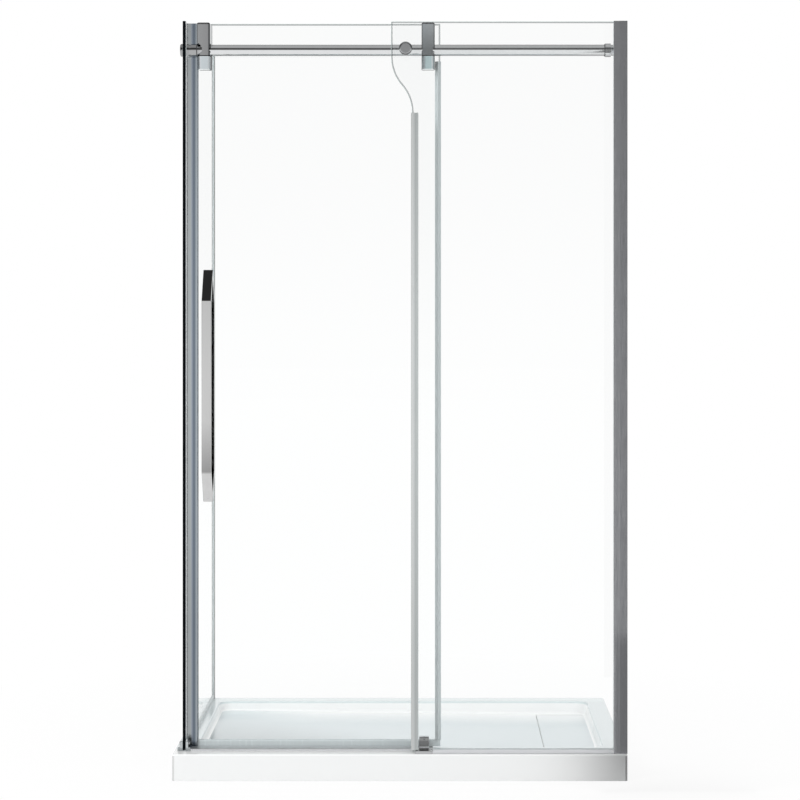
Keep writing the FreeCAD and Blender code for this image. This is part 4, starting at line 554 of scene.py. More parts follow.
def glass(name, tint, edge, broad_axis):
    """Clear pane whose ground edges are closed and darker than its broad faces, with painted shade in a
    band along its rims. Light and plain mirrors see through it without a bend."""
    material, tree, shader = new_shader(name, IOR=1.5)
    broad = facing(tree, broad_axis)
    rim = add_node(tree, "ShaderNodeAttribute", {"attribute_name": "rim"}).outputs["Fac"]
    # Painted shade in a band along the rim of the broad faces.
    body = blend_colours(tree, rim, tint, PANE_RIM_PAINTED_SHADE)
    grind = cloud(tree, object_place(tree, stretch=(30.0, 30.0, 30.0)), scale=12.0)
    ground = mottled(tree, grind, edge, low=0.85, high=1.15)
    feed(tree, shader.inputs["Base Color"], blend_colours(tree, broad, ground, body))
    feed(tree, shader.inputs["Transmission Weight"], broad)
    feed(tree, shader.inputs["Specular IOR Level"], all_of(tree, broad, PANE_SHINE))
    feed(tree, shader.inputs["Roughness"], all_of(tree, rest_of(tree, broad), PANE_EDGE_ROUGHNESS))
    clear = add_node(tree, "ShaderNodeBsdfTransparent", Color=tint)
    path = add_node(tree, "ShaderNodeLightPath").outputs
    mirrored = maths(tree, "SUBTRACT", path["Is Glossy Ray"], path["Is Transmission Ray"])
    straight = any_of(tree, path["Is Shadow Ray"], mirrored, path["Is Diffuse Ray"])
    output = tree.get_output_node("ALL")
    feed(tree, output.inputs["Surface"], blend_shaders(tree, straight, shader, clear).outputs["Shader"])
    return material


def polished_metal(name, base, roughness=0.05, **painted_light):
    """Mirror metal with the faint smears that polishing leaves, and any painted reflections and shade it
    is given.
    """
    material, tree, shader = new_shader(name, Metallic=1.0)
    smear = cloud(tree, object_place(tree, stretch=(3.0, 3.0, 1.0)), scale=14.0)
    plain = painted_metal_light(tree, mottled(tree, smear, base, low=0.96, high=1.03), **painted_light)
    paint(tree, shader, plain, smear, smoothest=roughness * 0.7, roughest=roughness * 1.5)
    waves = cloud(tree, object_place(tree), scale=90.0, detail=2.0)
    relief(tree, shader, waves, depth=0.05 * MM, strength=0.05)
    return material


def drawn_metal(name, base, grain, roughness=0.2, **painted_light):
    """Extruded or brushed metal whose fine lines run along one axis, with any painted reflections and
    shade it is given.
    """
    stretch = tuple(0.02 if axis == grain else 1.0 for axis in "XYZ")
    material, tree, shader = new_shader(name, Metallic=1.0)
    lines = cloud(tree, object_place(tree, stretch), scale=900.0, detail=3.0)
    broad = cloud(tree, object_place(tree, stretch), scale=60.0, detail=2.0)
    plain = painted_metal_light(tree, mottled(tree, broad, base, low=0.93, high=1.05), **painted_light)
    paint(tree, shader, plain, lines, smoothest=roughness * 0.8, roughest=roughness * 1.3)
    relief(tree, shader, lines, depth=0.01 * MM, strength=0.1)
    return material


def turned_metal(name, base, underside_shade):
    """Brushed metal with painted shade where it looks down."""
    material, tree, shader = new_shader(name, Metallic=1.0, Anisotropic=0.5)
    down = rise_of(tree, "Normal", *KNOB_UNDER_FACES)
    grain = cloud(tree, object_place(tree, stretch=(1.0, 1.0, 0.05)), scale=700.0, detail=3.0)
    brushed = mottled(tree, grain, base, low=0.85, high=1.12)
    plain = blend_colours(tree, down, brushed, underside_shade)
    paint(tree, shader, plain, grain, smoothest=0.16, roughest=0.26)
    return material


def clear_vinyl(name, base):
    """Milky flexible vinyl that lets some of what is behind it through."""
    material, tree, shader = new_shader(name, IOR=1.45, Alpha=0.9)
    flow = cloud(tree, object_place(tree, stretch=(1.0, 1.0, 0.1)), scale=120.0)
    plain = mottled(tree, flow, base, low=0.94, high=1.04)
    paint(tree, shader, plain, flow, smoothest=0.18, roughest=0.3)
    return material


def rubber(name, base):
    """Matt moulded rubber with a fine grain."""
    material, tree, shader = new_shader(name, IOR=1.52)
    grain = cloud(tree, object_place(tree), scale=700.0)
    plain = mottled(tree, grain, base, low=0.8, high=1.4)
    paint(tree, shader, plain, grain, smoothest=0.55, roughest=0.75)
    relief(tree, shader, grain, depth=0.1 * MM, strength=0.3)
    return material


def nylon(name, base, foot=None):
    """Satin moulded nylon. A foot is a height and the colour painted below it, a painted highlight."""
    material, tree, shader = new_shader(name, IOR=1.53)
    mould = cloud(tree, object_place(tree), scale=240.0)
    plain = mottled(tree, mould, base, low=0.93, high=1.06)
    if foot:
        height, tone = foot
        plain = blend_colours(tree, is_under(tree, axes_of(tree, "Object")["Z"], height), plain, tone)
    paint(tree, shader, plain, mould, smoothest=0.32, roughest=0.48)
    relief(tree, shader, mould, depth=0.08 * MM, strength=0.2)
    return material


def bead_foam(name, base):
    """Moulded bead foam with its round cells showing."""
    material, tree, shader = new_shader(name)
    beads = add_node(tree, "ShaderNodeTexVoronoi", Vector=object_place(tree), Scale=220.0)
    cells = beads.outputs["Distance"]
    plain = mottled(tree, cells, base, low=1.08, high=0.8)
    paint(tree, shader, plain, cells, smoothest=0.7, roughest=0.9)
    relief(tree, shader, cells, depth=1 * MM, strength=0.5)
    return material


def finish_nodes(material, *names):
    """Puts a finish on every slot of the named CAD nodes."""
    for name in names:
        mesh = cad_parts[name].data
        if not mesh.materials:
            mesh.materials.append(material)
        for index in range(len(mesh.materials)):
            mesh.materials[index] = material


# Geometry nodes

SAME_PLACE = 0.01 * MM
RACE_SIDES = 48
BALL_DIVISIONS = 3

# Outlines: no arc takes more than this share of an edge, and corners are rounded by these radii

ARC_SHARE = 0.45
SEAL_ROUND = 0.4 * MM
THIN_ROUND = 0.3 * MM
BULB_NECK = math.radians(38)
TRAILING_WALL_SHARE = 1.2

# A button head, as shares of its radius and of its height

SOCKET_FOOT = (0.46, 0.45)
SOCKET_MOUTH = (0.5, 0.985)
CROWN = (0.66, 1.0)
DOME_CENTRE = (0.7, 0.55)
DOME_REACH = (0.3, 0.42)
HEAD_SIDE = (1.0, 0.04)
HEAD_FOOT = (0.97, 0.0)
HEAD_SIDES = 36

# A shank, as shares of its radius and of its length

PLAIN_LENGTH = 0.2
THREAD_TURNS = 12
TURN_LENGTH = 0.06
ROOT_RADIUS = 0.86
TIP_RADIUS = 0.7
SHANK_SIDES = 24


def linked(name, data):
    """A new object in the scene, at the origin."""
    made = bpy.data.objects.new(name, data)
    bpy.context.scene.collection.objects.link(made)
    return made


def open_tree(name, kinds):
    """A geometry tree with named inputs. Returns it, the identifiers that set them and their outputs."""
    tree = bpy.data.node_groups.new(name, "GeometryNodeTree")
    keys = {}
    for label, kind in kinds.items():
        socket = tree.interface.new_socket(label, in_out="INPUT", socket_type="NodeSocket" + kind)
        keys[label] = socket.identifier
    tree.interface.new_socket("Piece", in_out="OUTPUT", socket_type="NodeSocketGeometry")
    return tree, keys, tree.nodes.new("NodeGroupInput").outputs


def close_tree(tree, geometry, finish):
    """Makes a tree's copies real, gives them their finish and hands them out."""
    real = add_node(tree, "GeometryNodeRealizeInstances", Geometry=geometry)
    done = add_node(tree, "GeometryNodeSetMaterial", Geometry=real.outputs["Geometry"], Material=finish)
    add_node(tree, "NodeGroupOutput", Piece=done.outputs["Geometry"])


def ready_made(name, mesh, tree, keys, values):
    """Runs a node tree on a mesh and keeps the result as a plain mesh at the origin."""
    source = linked(name + "_source", mesh)
    nodes = source.modifiers.new("Shape", "NODES")
    nodes.node_group = tree
    for label, value in values.items():
        nodes[keys[label]] = value
    graph = bpy.context.evaluated_depsgraph_get()
    made = bpy.data.meshes.new_from_object(source.evaluated_get(graph))
    source.modifiers.remove(nodes)
    bpy.data.objects.remove(source)
    if not made.polygons:
        raise RuntimeError(name + " came out empty")
    made.name = name
    return linked(name, made)


def strip_tree():
    """A tree that runs an outline straight from one place to another and caps its ends."""
    kinds = {"Outline": "Geometry", "Start": "Vector", "End": "Vector", "Finish": "Material"}
    tree, keys, given = open_tree("Strip", kinds)
    outline = add_node(tree, "GeometryNodeMeshToCurve", Mesh=given["Outline"])
    run = add_node(tree, "GeometryNodeCurvePrimitiveLine", Start=given["Start"], End=given["End"])
    swept = add_node(tree, "GeometryNodeCurveToMesh", Curve=run.outputs["Curve"],
                     Profile_Curve=outline.outputs["Curve"], Fill_Caps=True)
    close_tree(tree, swept.outputs["Mesh"], given["Finish"])
    return tree, keys


def strip(name, outline, start, end, material):
    """A strip of one outline. Outline points are across the run: X and Y for an upright strip,
    and for one along X its Y and Z with both signs turned."""
    mesh = bpy.data.meshes.new(name)
    count = len(outline)
    mesh.from_pydata([(u, v, 0.0) for u, v in outline], [(i, (i + 1) % count) for i in range(count)], [])
    return ready_made(name, mesh, *strip_tree(), {"Start": start, "End": end, "Finish": material})


def broad_faces(work, axis):
    """The faces of a pane that lie square to an axis."""
    broad = []
    for face in work.faces:
        depths = [corner.co[axis] for corner in face.verts]
        if max(depths) - min(depths) < SAME_PLACE:
            broad.append(face)
    return broad


def close_turned(work, front, axis):
    """Closes the thin faces that an inset has turned over. Front says which way each one looked."""
    work.normal_update()
    turned = [face for face, ahead in front.items() if (face.normal[axis] > 0) != ahead]
    short = {min(face.edges, key=lambda edge: edge.calc_length()) for face in turned}
    bmesh.ops.collapse(work, edges=list(short))


def pane(name, node, axis, rim_width, material):
    """A pane with a narrow face of its own along every edge and hole, marked for the finish."""
    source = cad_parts[node]
    mesh = source.data.copy()
    mesh.name = name
    mesh.transform(source.matrix_world)
    work = bmesh.new()
    work.from_mesh(mesh)
    mark = work.faces.layers.float.new("rim")
    bmesh.ops.remove_doubles(work, verts=work.verts, dist=SAME_PLACE)
    broad = broad_faces(work, axis)
    if not broad:
        raise RuntimeError(name + " has no broad faces")
    front = {face: face.normal[axis] > 0 for face in broad}
    made = bmesh.ops.inset_region(work, faces=broad, thickness=rim_width, use_boundary=True,
                                  use_even_offset=True)
    for face in work.faces:
        face.smooth = False
        face.material_index = 0
    for face in made["faces"]:
        face[mark] = 1.0
    close_turned(work, front, axis)
    work.to_mesh(mesh)
    work.free()
    mesh.materials.clear()
    mesh.materials.append(material)
    return linked(name, mesh)


def soften(outline, radius, steps=3):
    """An outline whose corners are turned into short arcs."""
    points = []
    count = len(outline)
    for index in range(count):
        before, corner, after = (Vector(outline[(index + step) % count]) for step in (-1, 0, 1))
        back = before - corner
        ahead = after - corner
        first = corner + back.normalized() * min(radius, back.length * ARC_SHARE)
        last = corner + ahead.normalized() * min(radius, ahead.length * ARC_SHARE)
        for step in range(steps + 1):
            share = step / steps
            bend = first * (1 - share) ** 2 + corner * (2 * share * (1 - share)) + last * share ** 2
            points.append((bend.x, bend.y))
    return points


def nose_outline(sizes, low, high):
    """Round bulb, narrow neck and a cuff that grips the closing edge of the pane."""
    middle = (low.y + high.y) / 2
    grip = sizes.pane / 2 + sizes.seal_play
    outer = sizes.pane / 2 + sizes.seal_wall
    lip = sizes.pane / 2 + sizes.seal_lip
    radius = sizes.bulb_radius
    centre = low.x + radius
    web = low.x + 2 * radius
    edge = web + sizes.seal_wall - sizes.seal_play
    back_side = [(high.x, grip), (high.x, lip), (edge, outer), (web, outer)]
    turn = math.tau - 2 * BULB_NECK
    bulb = []
    for step in range(sizes.bulb_sides + 1):
        angle = BULB_NECK + turn * step / sizes.bulb_sides
        bulb.append((centre + radius * math.cos(angle), middle + radius * math.sin(angle)))
    outline = [(edge, middle - grip), (edge, middle + grip)]
    outline += [(x, middle + y) for x, y in back_side]
    outline += bulb
    outline += [(x, middle - y) for x, y in reversed(back_side)]
    return outline


def blade_outline(sizes, root, tip):
    """One side of a splash blade, from its foot out to its thin tip."""
    toward = 1.0 if tip > root else -1.0
    foot = sizes.blade_foot / 2
    half = sizes.blade_thickness / 2
    return [
        (foot, root),
        (foot, root + toward * sizes.seal_lip),
        (half * 1.5, root + toward * sizes.blade_thickness),
        (half, root + toward * 3 * sizes.blade_thickness),
        (half / 2, tip),
    ]


def fin_outline(sizes, low, high):
    """A splash blade that stands on its foot."""
    across = (low.x + high.x) / 2
    side = blade_outline(sizes, low.y, high.y)
    return [(across + x, y) for x, y in side] + [(across - x, y) for x, y in reversed(side)]


def trailing_outline(sizes, low, high):
    """A cuff round the trailing edge of the pane, with a blade to the front."""
    back = high.y
    wall = sizes.seal_wall * TRAILING_WALL_SHARE
    middle = back - wall - sizes.pane / 2
    grip = sizes.pane / 2 + sizes.seal_play
    outer = sizes.pane / 2 + wall
    lip = sizes.pane / 2 + sizes.seal_lip
    edge = high.x - wall
    across = (low.x + high.x) / 2
    side = blade_outline(sizes, middle - outer, low.y)
    outline = [(low.x, middle + grip), (edge, middle + grip), (edge, middle - grip)]
    outline += [(low.x, middle - grip), (low.x, middle - lip)]
    outline += [(low.x + sizes.blade_foot / 2, middle - outer)]
    outline += [(across - x, y) for x, y in side[1:]]
    outline += [(across + x, y) for x, y in reversed(side[1:])]
    outline += [(high.x, middle - outer), (high.x, middle + outer)]
    outline += [(low.x + sizes.blade_foot / 2, middle + outer), (low.x, middle + lip)]
    return outline


def sweep_outline(sizes, low, high, pane_foot):
    """A cuff round the bottom of the pane with two tapered lips, as Y and Z."""
    middle = (low.y + high.y) / 2
    half = (high.y - low.y) / 2
    grip = sizes.pane / 2 + sizes.seal_play
    lip = sizes.pane / 2 + sizes.seal_lip
    floor = pane_foot - sizes.seal_play
    under = floor - 2 * sizes.seal_wall
    shoulder = high.z - 3 * sizes.seal_wall
    back_side = [
        (grip, floor), (grip, high.z), (lip, high.z), (half, shoulder), (half, low.z),
        (half - sizes.seal_lip / 2, low.z), (half - sizes.seal_wall, under),
    ]
    outline = [(middle - y, z) for y, z in back_side]
    outline += [(middle + y, z) for y, z in reversed(back_side)]
    return outline


def cushion_outline(sizes, low, high):
    """A soft cushion with a ribbed middle between two tapered lips."""
    middle = (low.y + high.y) / 2
    half = (high.y - low.y) / 2
    face = low.x + sizes.cushion_base
    rib = sizes.seal_wall
    lip_root = sizes.pane / 2 + 1.5 * sizes.seal_wall
    side = [(low.x, half), (high.x, half), (high.x, half - 1.5 * rib), (face + rib, lip_root)]
    ribs = []
    for step in range(-3, 4):
        depth = sizes.seal_lip if step % 2 else 0.0
        ribs.append((face - depth, middle + step * rib))
    outline = [(x, middle - y) for x, y in side]
    outline += ribs
    outline += [(x, middle + y) for x, y in reversed(side)]
    return outline


def dress(piece, body, slot, *nodes):
    """Rides a piece on its body and puts it in place of the nodes it stands for. The slot is not used."""
    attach(piece, body)
    if nodes:
        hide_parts(*nodes)
    return piece


def upright_strip(name, node, outline_of, sizes, radius, material, body, slot):
    """A strip up the Z axis in place of a plainer node. Its outline is made from the node's corners and
    rounded by a radius."""
    low, high = at_node(node)
    outline = soften(outline_of(sizes, low, high), radius)
    dress(strip(name, outline, (0.0, 0.0, low.z), (0.0, 0.0, high.z), material), body, slot, node)


def ringed_mesh(name, rings, sides, top, bottom):
    """A turned solid from rings of points, closed by a middle point at each end."""
    points = [point for ring in rings for point in ring]
    faces = []
    for row in range(len(rings) - 1):
        for side in range(sides):
            ahead = (side + 1) % sides
            first = row * sides
            second = first + sides
            faces.append((first + side, second + side, second + ahead, first + ahead))
    last = (len(rings) - 1) * sides
    points += [(0.0, 0.0, top), (0.0, 0.0, bottom)]
    for side in range(sides):
        ahead = (side + 1) % sides
        faces.append((len(points) - 2, side, ahead))
        faces.append((len(points) - 1, last + ahead, last + side))
    mesh = bpy.data.meshes.new(name)
    mesh.from_pydata(points, [], faces)
    return mesh


def round_ring(radius, height, sides):
    """A ring of points round the Z axis."""
    angles = [math.tau * side / sides for side in range(sides)]
    return [(radius * math.cos(angle), radius * math.sin(angle), height) for angle in angles]


def key_ring(radius, height, sides):
    """A six-sided ring with as many points as the round rings."""
    points = []
    for x, y, z in round_ring(1.0, height, sides):
        angle = math.atan2(y, x) % math.radians(60) - math.radians(30)
        reach = radius * math.cos(math.radians(30)) / math.cos(angle)
        points.append((x * reach, y * reach, z))
    return points


def screw_head():
    """A button head one unit high and one unit in radius, with a key socket in its top."""
    rings = [key_ring(*SOCKET_FOOT, HEAD_SIDES), key_ring(*SOCKET_MOUTH, HEAD_SIDES),
             round_ring(*CROWN, HEAD_SIDES)]
    for angle in range(75, -1, -15):
        turned = math.radians(angle)
        radius = DOME_CENTRE[0] + DOME_REACH[0] * math.cos(turned)
        height = DOME_CENTRE[1] + DOME_REACH[1] * math.sin(turned)
        rings.append(round_ring(radius, height, HEAD_SIDES))
    rings += [round_ring(*HEAD_SIDE, HEAD_SIDES), round_ring(*HEAD_FOOT, HEAD_SIDES)]
    return ringed_mesh("screw_head", rings, HEAD_SIDES, SOCKET_FOOT[1], 0.0)


def screw_shank():
    """A threaded shank one unit long and one unit in radius, down from the head."""
    rings = [round_ring(1.0, 0.0, SHANK_SIDES), round_ring(1.0, -PLAIN_LENGTH, SHANK_SIDES)]
    for turn in range(1, THREAD_TURNS + 1):
        radius = ROOT_RADIUS if turn % 2 else 1.0
        rings.append(round_ring(radius, -PLAIN_LENGTH - turn * TURN_LENGTH, SHANK_SIDES))
    rings.append(round_ring(TIP_RADIUS, -1.0, SHANK_SIDES))
    return ringed_mesh("screw_shank", rings, SHANK_SIDES, 0.0, -1.0)


def place_instances(tree, points, source, size):
    """Copies of an object on points, turned to the points' aim and scaled by one of their attributes."""
    master = add_node(tree, "GeometryNodeObjectInfo", Object=source, As_Instance=True)
    scale = add_node(tree, "GeometryNodeInputNamedAttribute", {"data_type": "FLOAT_VECTOR"}, Name=size)
    aim = add_node(tree, "GeometryNodeInputNamedAttribute", {"data_type": "FLOAT_VECTOR"}, Name="aim")
    turn = add_node(tree, "FunctionNodeAlignRotationToVector", {"axis": "Z"},
                    Vector=aim.outputs["Attribute"])
    placed = add_node(tree, "GeometryNodeInstanceOnPoints", Points=points,
                      Rotation=turn.outputs["Rotation"], Instance=master.outputs["Geometry"],
                      Scale=scale.outputs["Attribute"])
    return placed.outputs["Instances"]


def screw_tree():
    """A tree that stands a headed screw on every point."""
    kinds = {"Places": "Geometry", "Head": "Object", "Shank": "Object", "Finish": "Material"}
    tree, keys, given = open_tree("Screws", kinds)
    both = tree.nodes.new("GeometryNodeJoinGeometry")
    for source, size in ((given["Head"], "head_size"), (given["Shank"], "shank_size")):
        tree.links.new(place_instances(tree, given["Places"], source, size), both.inputs["Geometry"])
    close_tree(tree, both.outputs["Geometry"], given["Finish"])
    return tree, keys


def screws(name, rows, material):
    """Screws from rows of a seat, an aim and a screw's four sizes."""
    mesh = bpy.data.meshes.new(name + "_places")
    mesh.from_pydata([seat for seat, aim, sizes in rows], [], [])
    columns = {
        "aim": [aim for seat, aim, sizes in rows],
        "head_size": [(radius, radius, height) for seat, aim, (radius, height, _, _) in rows],
        "shank_size": [(radius, radius, depth) for seat, aim, (_, _, radius, depth) in rows],
    }
    for key, values in columns.items():
        attribute = mesh.attributes.new(key, "FLOAT_VECTOR", "POINT")
        attribute.data.foreach_set("vector", [number for value in values for number in value])
    masters = [linked(shape.name, shape) for shape in (screw_head(), screw_shank())]
    values = {"Head": masters[0], "Shank": masters[1], "Finish": material}
    piece = ready_made(name, mesh, *screw_tree(), values)
    for master in masters:
        bpy.data.objects.remove(master)
    return piece


# Screws: radius and height of the head, then radius and length of the shank

CLAMP_SCREW = (5 * MM, 3 * MM, 3 * MM, 6.2 * MM)
JAMB_SCREW = (4 * MM, 2.4 * MM, 2 * MM, 3.5 * MM)
GUIDE_SCREW = (4 * MM, 2 * MM, 2 * MM, 20 * MM)
HANGER_BOLT = (7 * MM, 4 * MM, 3 * MM, 22 * MM)

# Where they sit on their pieces

CLAMP_SCREW_RISE = 18 * MM
CLAMP_SCREW_REACH = 10.7 * MM
JAMB_SCREW_END = 230 * MM
JAMB_SCREW_SIDE = 15 * MM
GUIDE_SCREW_DEPTHS = {"guide_block_front": 17.5 * MM, "guide_block_back": 6 * MM}
GUIDE_SCREW_SINK = 5 * MM
HANGER_BOLT_END = 18 * MM


def frame_screw_rows():
    """Screws of the corner clamp, the jamb and the guide."""
    rows = []
    middle = middle_of("return_foot_seal").x
    height = at_node("corner_clamp")[0].z + CLAMP_SCREW_RISE
    for toward in (-1.0, 1.0):
        seat = (middle + toward * CLAMP_SCREW_REACH, middle_of("corner_clamp").y, height)
        rows.append((seat, (toward, 0.0, 0.0), CLAMP_SCREW))
    low, high = at_node("jamb_wall_channel")
    foot = low.z + JAMB_SCREW_END
    top = high.z - JAMB_SCREW_END
    for height in (foot, (foot + top) / 2, top):
        rows.append(((high.x - JAMB_SCREW_SIDE, high.y, height), (0.0, 1.0, 0.0), JAMB_SCREW))
    for node, depth in GUIDE_SCREW_DEPTHS.items():
        low, high = at_node(node)
        seat = ((low.x + high.x) / 2, high.y - depth, high.z - GUIDE_SCREW_SINK)
        rows.append((seat, (0.0, 0.0, 1.0), GUIDE_SCREW))
    return rows


def hanger_bolt_rows():
    """Bolts whose heads stand on the inside clamp plates."""
    rows = []
    seat_y = at_node("hanger_clamp_plates")[1].y
    for side in ("left", "right"):
        low, high = at_node("hanger_body_" + side)
        for height in (low.z + HANGER_BOLT_END, high.z - HANGER_BOLT_END):
            rows.append((((low.x + high.x) / 2, seat_y, height), (0.0, 1.0, 0.0), HANGER_BOLT))
    return rows


def bearing_tree():
    """A tree that puts a ball bearing, with its axis along Y, on every point."""
    kinds = {"Places": "Geometry", "Outer radius": "Float", "Bore": "Float", "Race wall": "Float",
             "Width": "Float", "Ball radius": "Float", "Balls": "Int", "Finish": "Material"}
    tree, keys, given = open_tree("Ball bearings", kinds)
    half_wall = maths(tree, "MULTIPLY", given["Race wall"], 0.5)
    outer = maths(tree, "SUBTRACT", given["Outer radius"], half_wall)
    inner = maths(tree, "ADD", given["Bore"], half_wall)
    pitch = maths(tree, "MULTIPLY", maths(tree, "ADD", outer, inner), 0.5)
    section = add_node(tree, "GeometryNodeCurvePrimitiveQuadrilateral", Width=given["Race wall"],
                       Height=given["Width"])
    parts = tree.nodes.new("GeometryNodeJoinGeometry")
    for radius in (outer, inner):
        loop = add_node(tree, "GeometryNodeCurvePrimitiveCircle", Resolution=RACE_SIDES, Radius=radius)
        race = add_node(tree, "GeometryNodeCurveToMesh", Curve=loop.outputs["Curve"],
                        Profile_Curve=section.outputs["Curve"])
        tree.links.new(race.outputs["Mesh"], parts.inputs["Geometry"])
    spots = add_node(tree, "GeometryNodeMeshCircle", Vertices=given["Balls"], Radius=pitch)
    ball = add_node(tree, "GeometryNodeMeshIcoSphere", Radius=given["Ball radius"],
                    Subdivisions=BALL_DIVISIONS)
    balls = add_node(tree, "GeometryNodeInstanceOnPoints", Points=spots.outputs["Mesh"],
                     Instance=ball.outputs["Mesh"])
    tree.links.new(balls.outputs["Instances"], parts.inputs["Geometry"])
    turned = add_node(tree, "GeometryNodeTransform", Geometry=parts.outputs["Geometry"],
                      Rotation=(math.radians(90), 0.0, 0.0))
    placed = add_node(tree, "GeometryNodeInstanceOnPoints", Points=given["Places"],
                      Instance=turned.outputs["Geometry"])
    close_tree(tree, placed.outputs["Instances"], given["Finish"])
    return tree, keys


def bearings(name, node, sizes, material):
    """Two ball bearings in the place of a roller's plain rings."""
    low, high = at_node(node)
    middle = (low + high) / 2
    half = sizes.bearing_width / 2
    mesh = bpy.data.meshes.new(name + "_places")
    mesh.from_pydata([(middle.x, low.y + half, middle.z), (middle.x, high.y - half, middle.z)], [], [])
    values = {
        "Outer radius": sizes.bearing_radius, "Bore": sizes.bearing_bore, "Race wall": sizes.race_wall,
        "Width": sizes.bearing_width, "Ball radius": sizes.ball_radius, "Balls": sizes.ball_count,
        "Finish": material,
    }
    return ready_made(name, mesh, *bearing_tree(), values)


# Making steps. Each finishes one group of pieces.


class SHOWER_OT_tray(Operator):
    """Finish the tray, its loose cover and the foam under it"""

    bl_idname = "shower.tray"
    bl_label = "Tray"

    def execute(self, context):
        colours = context.scene.shower_colours
        finish_nodes(acrylic("tray_acrylic", colours.acrylic), "tray_shell")
        border = (*at_node("drain_cover"), context.scene.shower_sizes.cover_shade)
        finish_nodes(acrylic("cover_acrylic", colours.acrylic, border=border), "drain_cover")
        finish_nodes(bead_foam("tray_foam", colours.foam), "support_blocks")
        return {"FINISHED"}


class SHOWER_OT_waste(Operator):
    """Finish the waste under the cover"""

    bl_idname = "shower.waste"
    bl_label = "Waste"

    def execute(self, context):
        colours = context.scene.shower_colours
        steel = polished_metal("waste_steel", colours.steel, roughness=0.14)
        finish_nodes(steel, "drain_body", "drain_strainer")
        finish_nodes(nylon("nut_nylon", colours.dark_nylon), "drain_nut")
        finish_nodes(rubber("waste_rubber", colours.rubber), "drain_seal", "cover_pads")
        return {"FINISHED"}


class SHOWER_OT_glass(Operator):
    """Finish the three panes"""

    bl_idname = "shower.glass"
    bl_label = "Glass"

    def execute(self, context):
        colours = context.scene.shower_colours
        width = context.scene.shower_sizes.rim_width
        front = glass("front_glass", colours.pane, colours.pane_edge, "Y")
        # The return pane's edge is painted near black as shade.
        side = glass("side_glass", colours.pane, colours.return_edge, "X")
        panes = (
            ("door", 1, front, "door"), ("fixed", 1, front, "enclosure"), ("return", 0, side, "enclosure"),
        )
        for name, axis, finish, body in panes:
            node = name + "_glass"
            dress(pane(name + "_pane", node, axis, width, finish), body, "clear_glass", node)
        return {"FINISHED"}


class SHOWER_OT_frame(Operator):
    """Finish the channels, trims, clamp and threshold"""

    bl_idname = "shower.frame"
    bl_label = "Frame"

    def execute(self, context):
        colours = context.scene.shower_colours
        low, high = at_node("strike_channel")
        # Painted reflection bands across the strike and painted shade toward its foot.
        strike = drawn_metal("strike_aluminium", colours.strike, "Z",
                             across=(low.x, high.x, STRIKE_PAINTED_REFLECTIONS), along=STRIKE_PAINTED_SHADE)
        finish_nodes(strike, "strike_channel")
        low, high = at_node("edge_trim")
        # Painted reflection bands across the trim and painted shade toward its foot.
        trim = drawn_metal("trim_aluminium", colours.trim, "Z",
                           across=(low.x, high.x, TRIM_PAINTED_REFLECTIONS), along=TRIM_PAINTED_SHADE)
        finish_nodes(trim, "edge_trim")
        # The wall channel's dark colour is painted shade.
        finish_nodes(drawn_metal("channel_aluminium", colours.channel, "Z"), "return_wall_channel")
        sill = drawn_metal("level_aluminium", colours.aluminium, "X", roughness=0.36)
        finish_nodes(sill, "sill_channel")
        # The threshold is a lighter copy of the sill's aluminium: painted light.
        bar = drawn_metal("threshold_aluminium", shade(colours.aluminium, THRESHOLD_PAINTED_LIGHT), "X",
                          roughness=0.36)
        finish_nodes(bar, "threshold")
        jamb = drawn_metal("jamb_aluminium", colours.jamb, "Z", roughness=0.12)
        finish_nodes(jamb, "jamb_wall_channel", "jamb_adjusting_channel")
        # The clamp's darker chrome is painted shade.
        finish_nodes(polished_metal("clamp_chrome", colours.clamp), "corner_clamp")
        return {"FINISHED"}


class SHOWER_OT_rail(Operator):
    """Finish the rail, its ends, stops and the knob that holds it"""

    bl_idname = "shower.rail"
    bl_label = "Rail"

    def execute(self, context):
        colours = context.scene.shower_colours
        low, high = at_node("hanger_body_left")
        # Painted shade on the rail toward its left end and on its underside.
        rail = polished_metal("rail_chrome", colours.chrome, roughness=0.06,
                              across=(low.x, high.x, RAIL_PAINTED_SHADE), under=RAIL_UNDER_PAINTED_SHADE)
        finish_nodes(rail, "rail_tube", "rail_wall_bracket", "rail_stops")
        # The rail's ends are a darker copy of the chrome: painted shade.
        end = polished_metal("rail_end_chrome", shade(colours.chrome, RAIL_END_PAINTED_SHADE), roughness=0.08)
        finish_nodes(end, "rail_socket", "rail_cap")
        finish_nodes(polished_metal("standoff_chrome", colours.chrome, roughness=0.08), "rail_standoff")
        # Painted shade under the knob.
        knob = turned_metal("knob_chrome", colours.knob, shade(colours.knob, KNOB_UNDER_PAINTED_SHADE))
        finish_nodes(knob, "standoff_knob")
        stud = polished_metal("stud_steel", colours.steel, roughness=0.2)
        finish_nodes(stud, "rail_bolt", "rail_stop_screws", "standoff_stud")
        return {"FINISHED"}


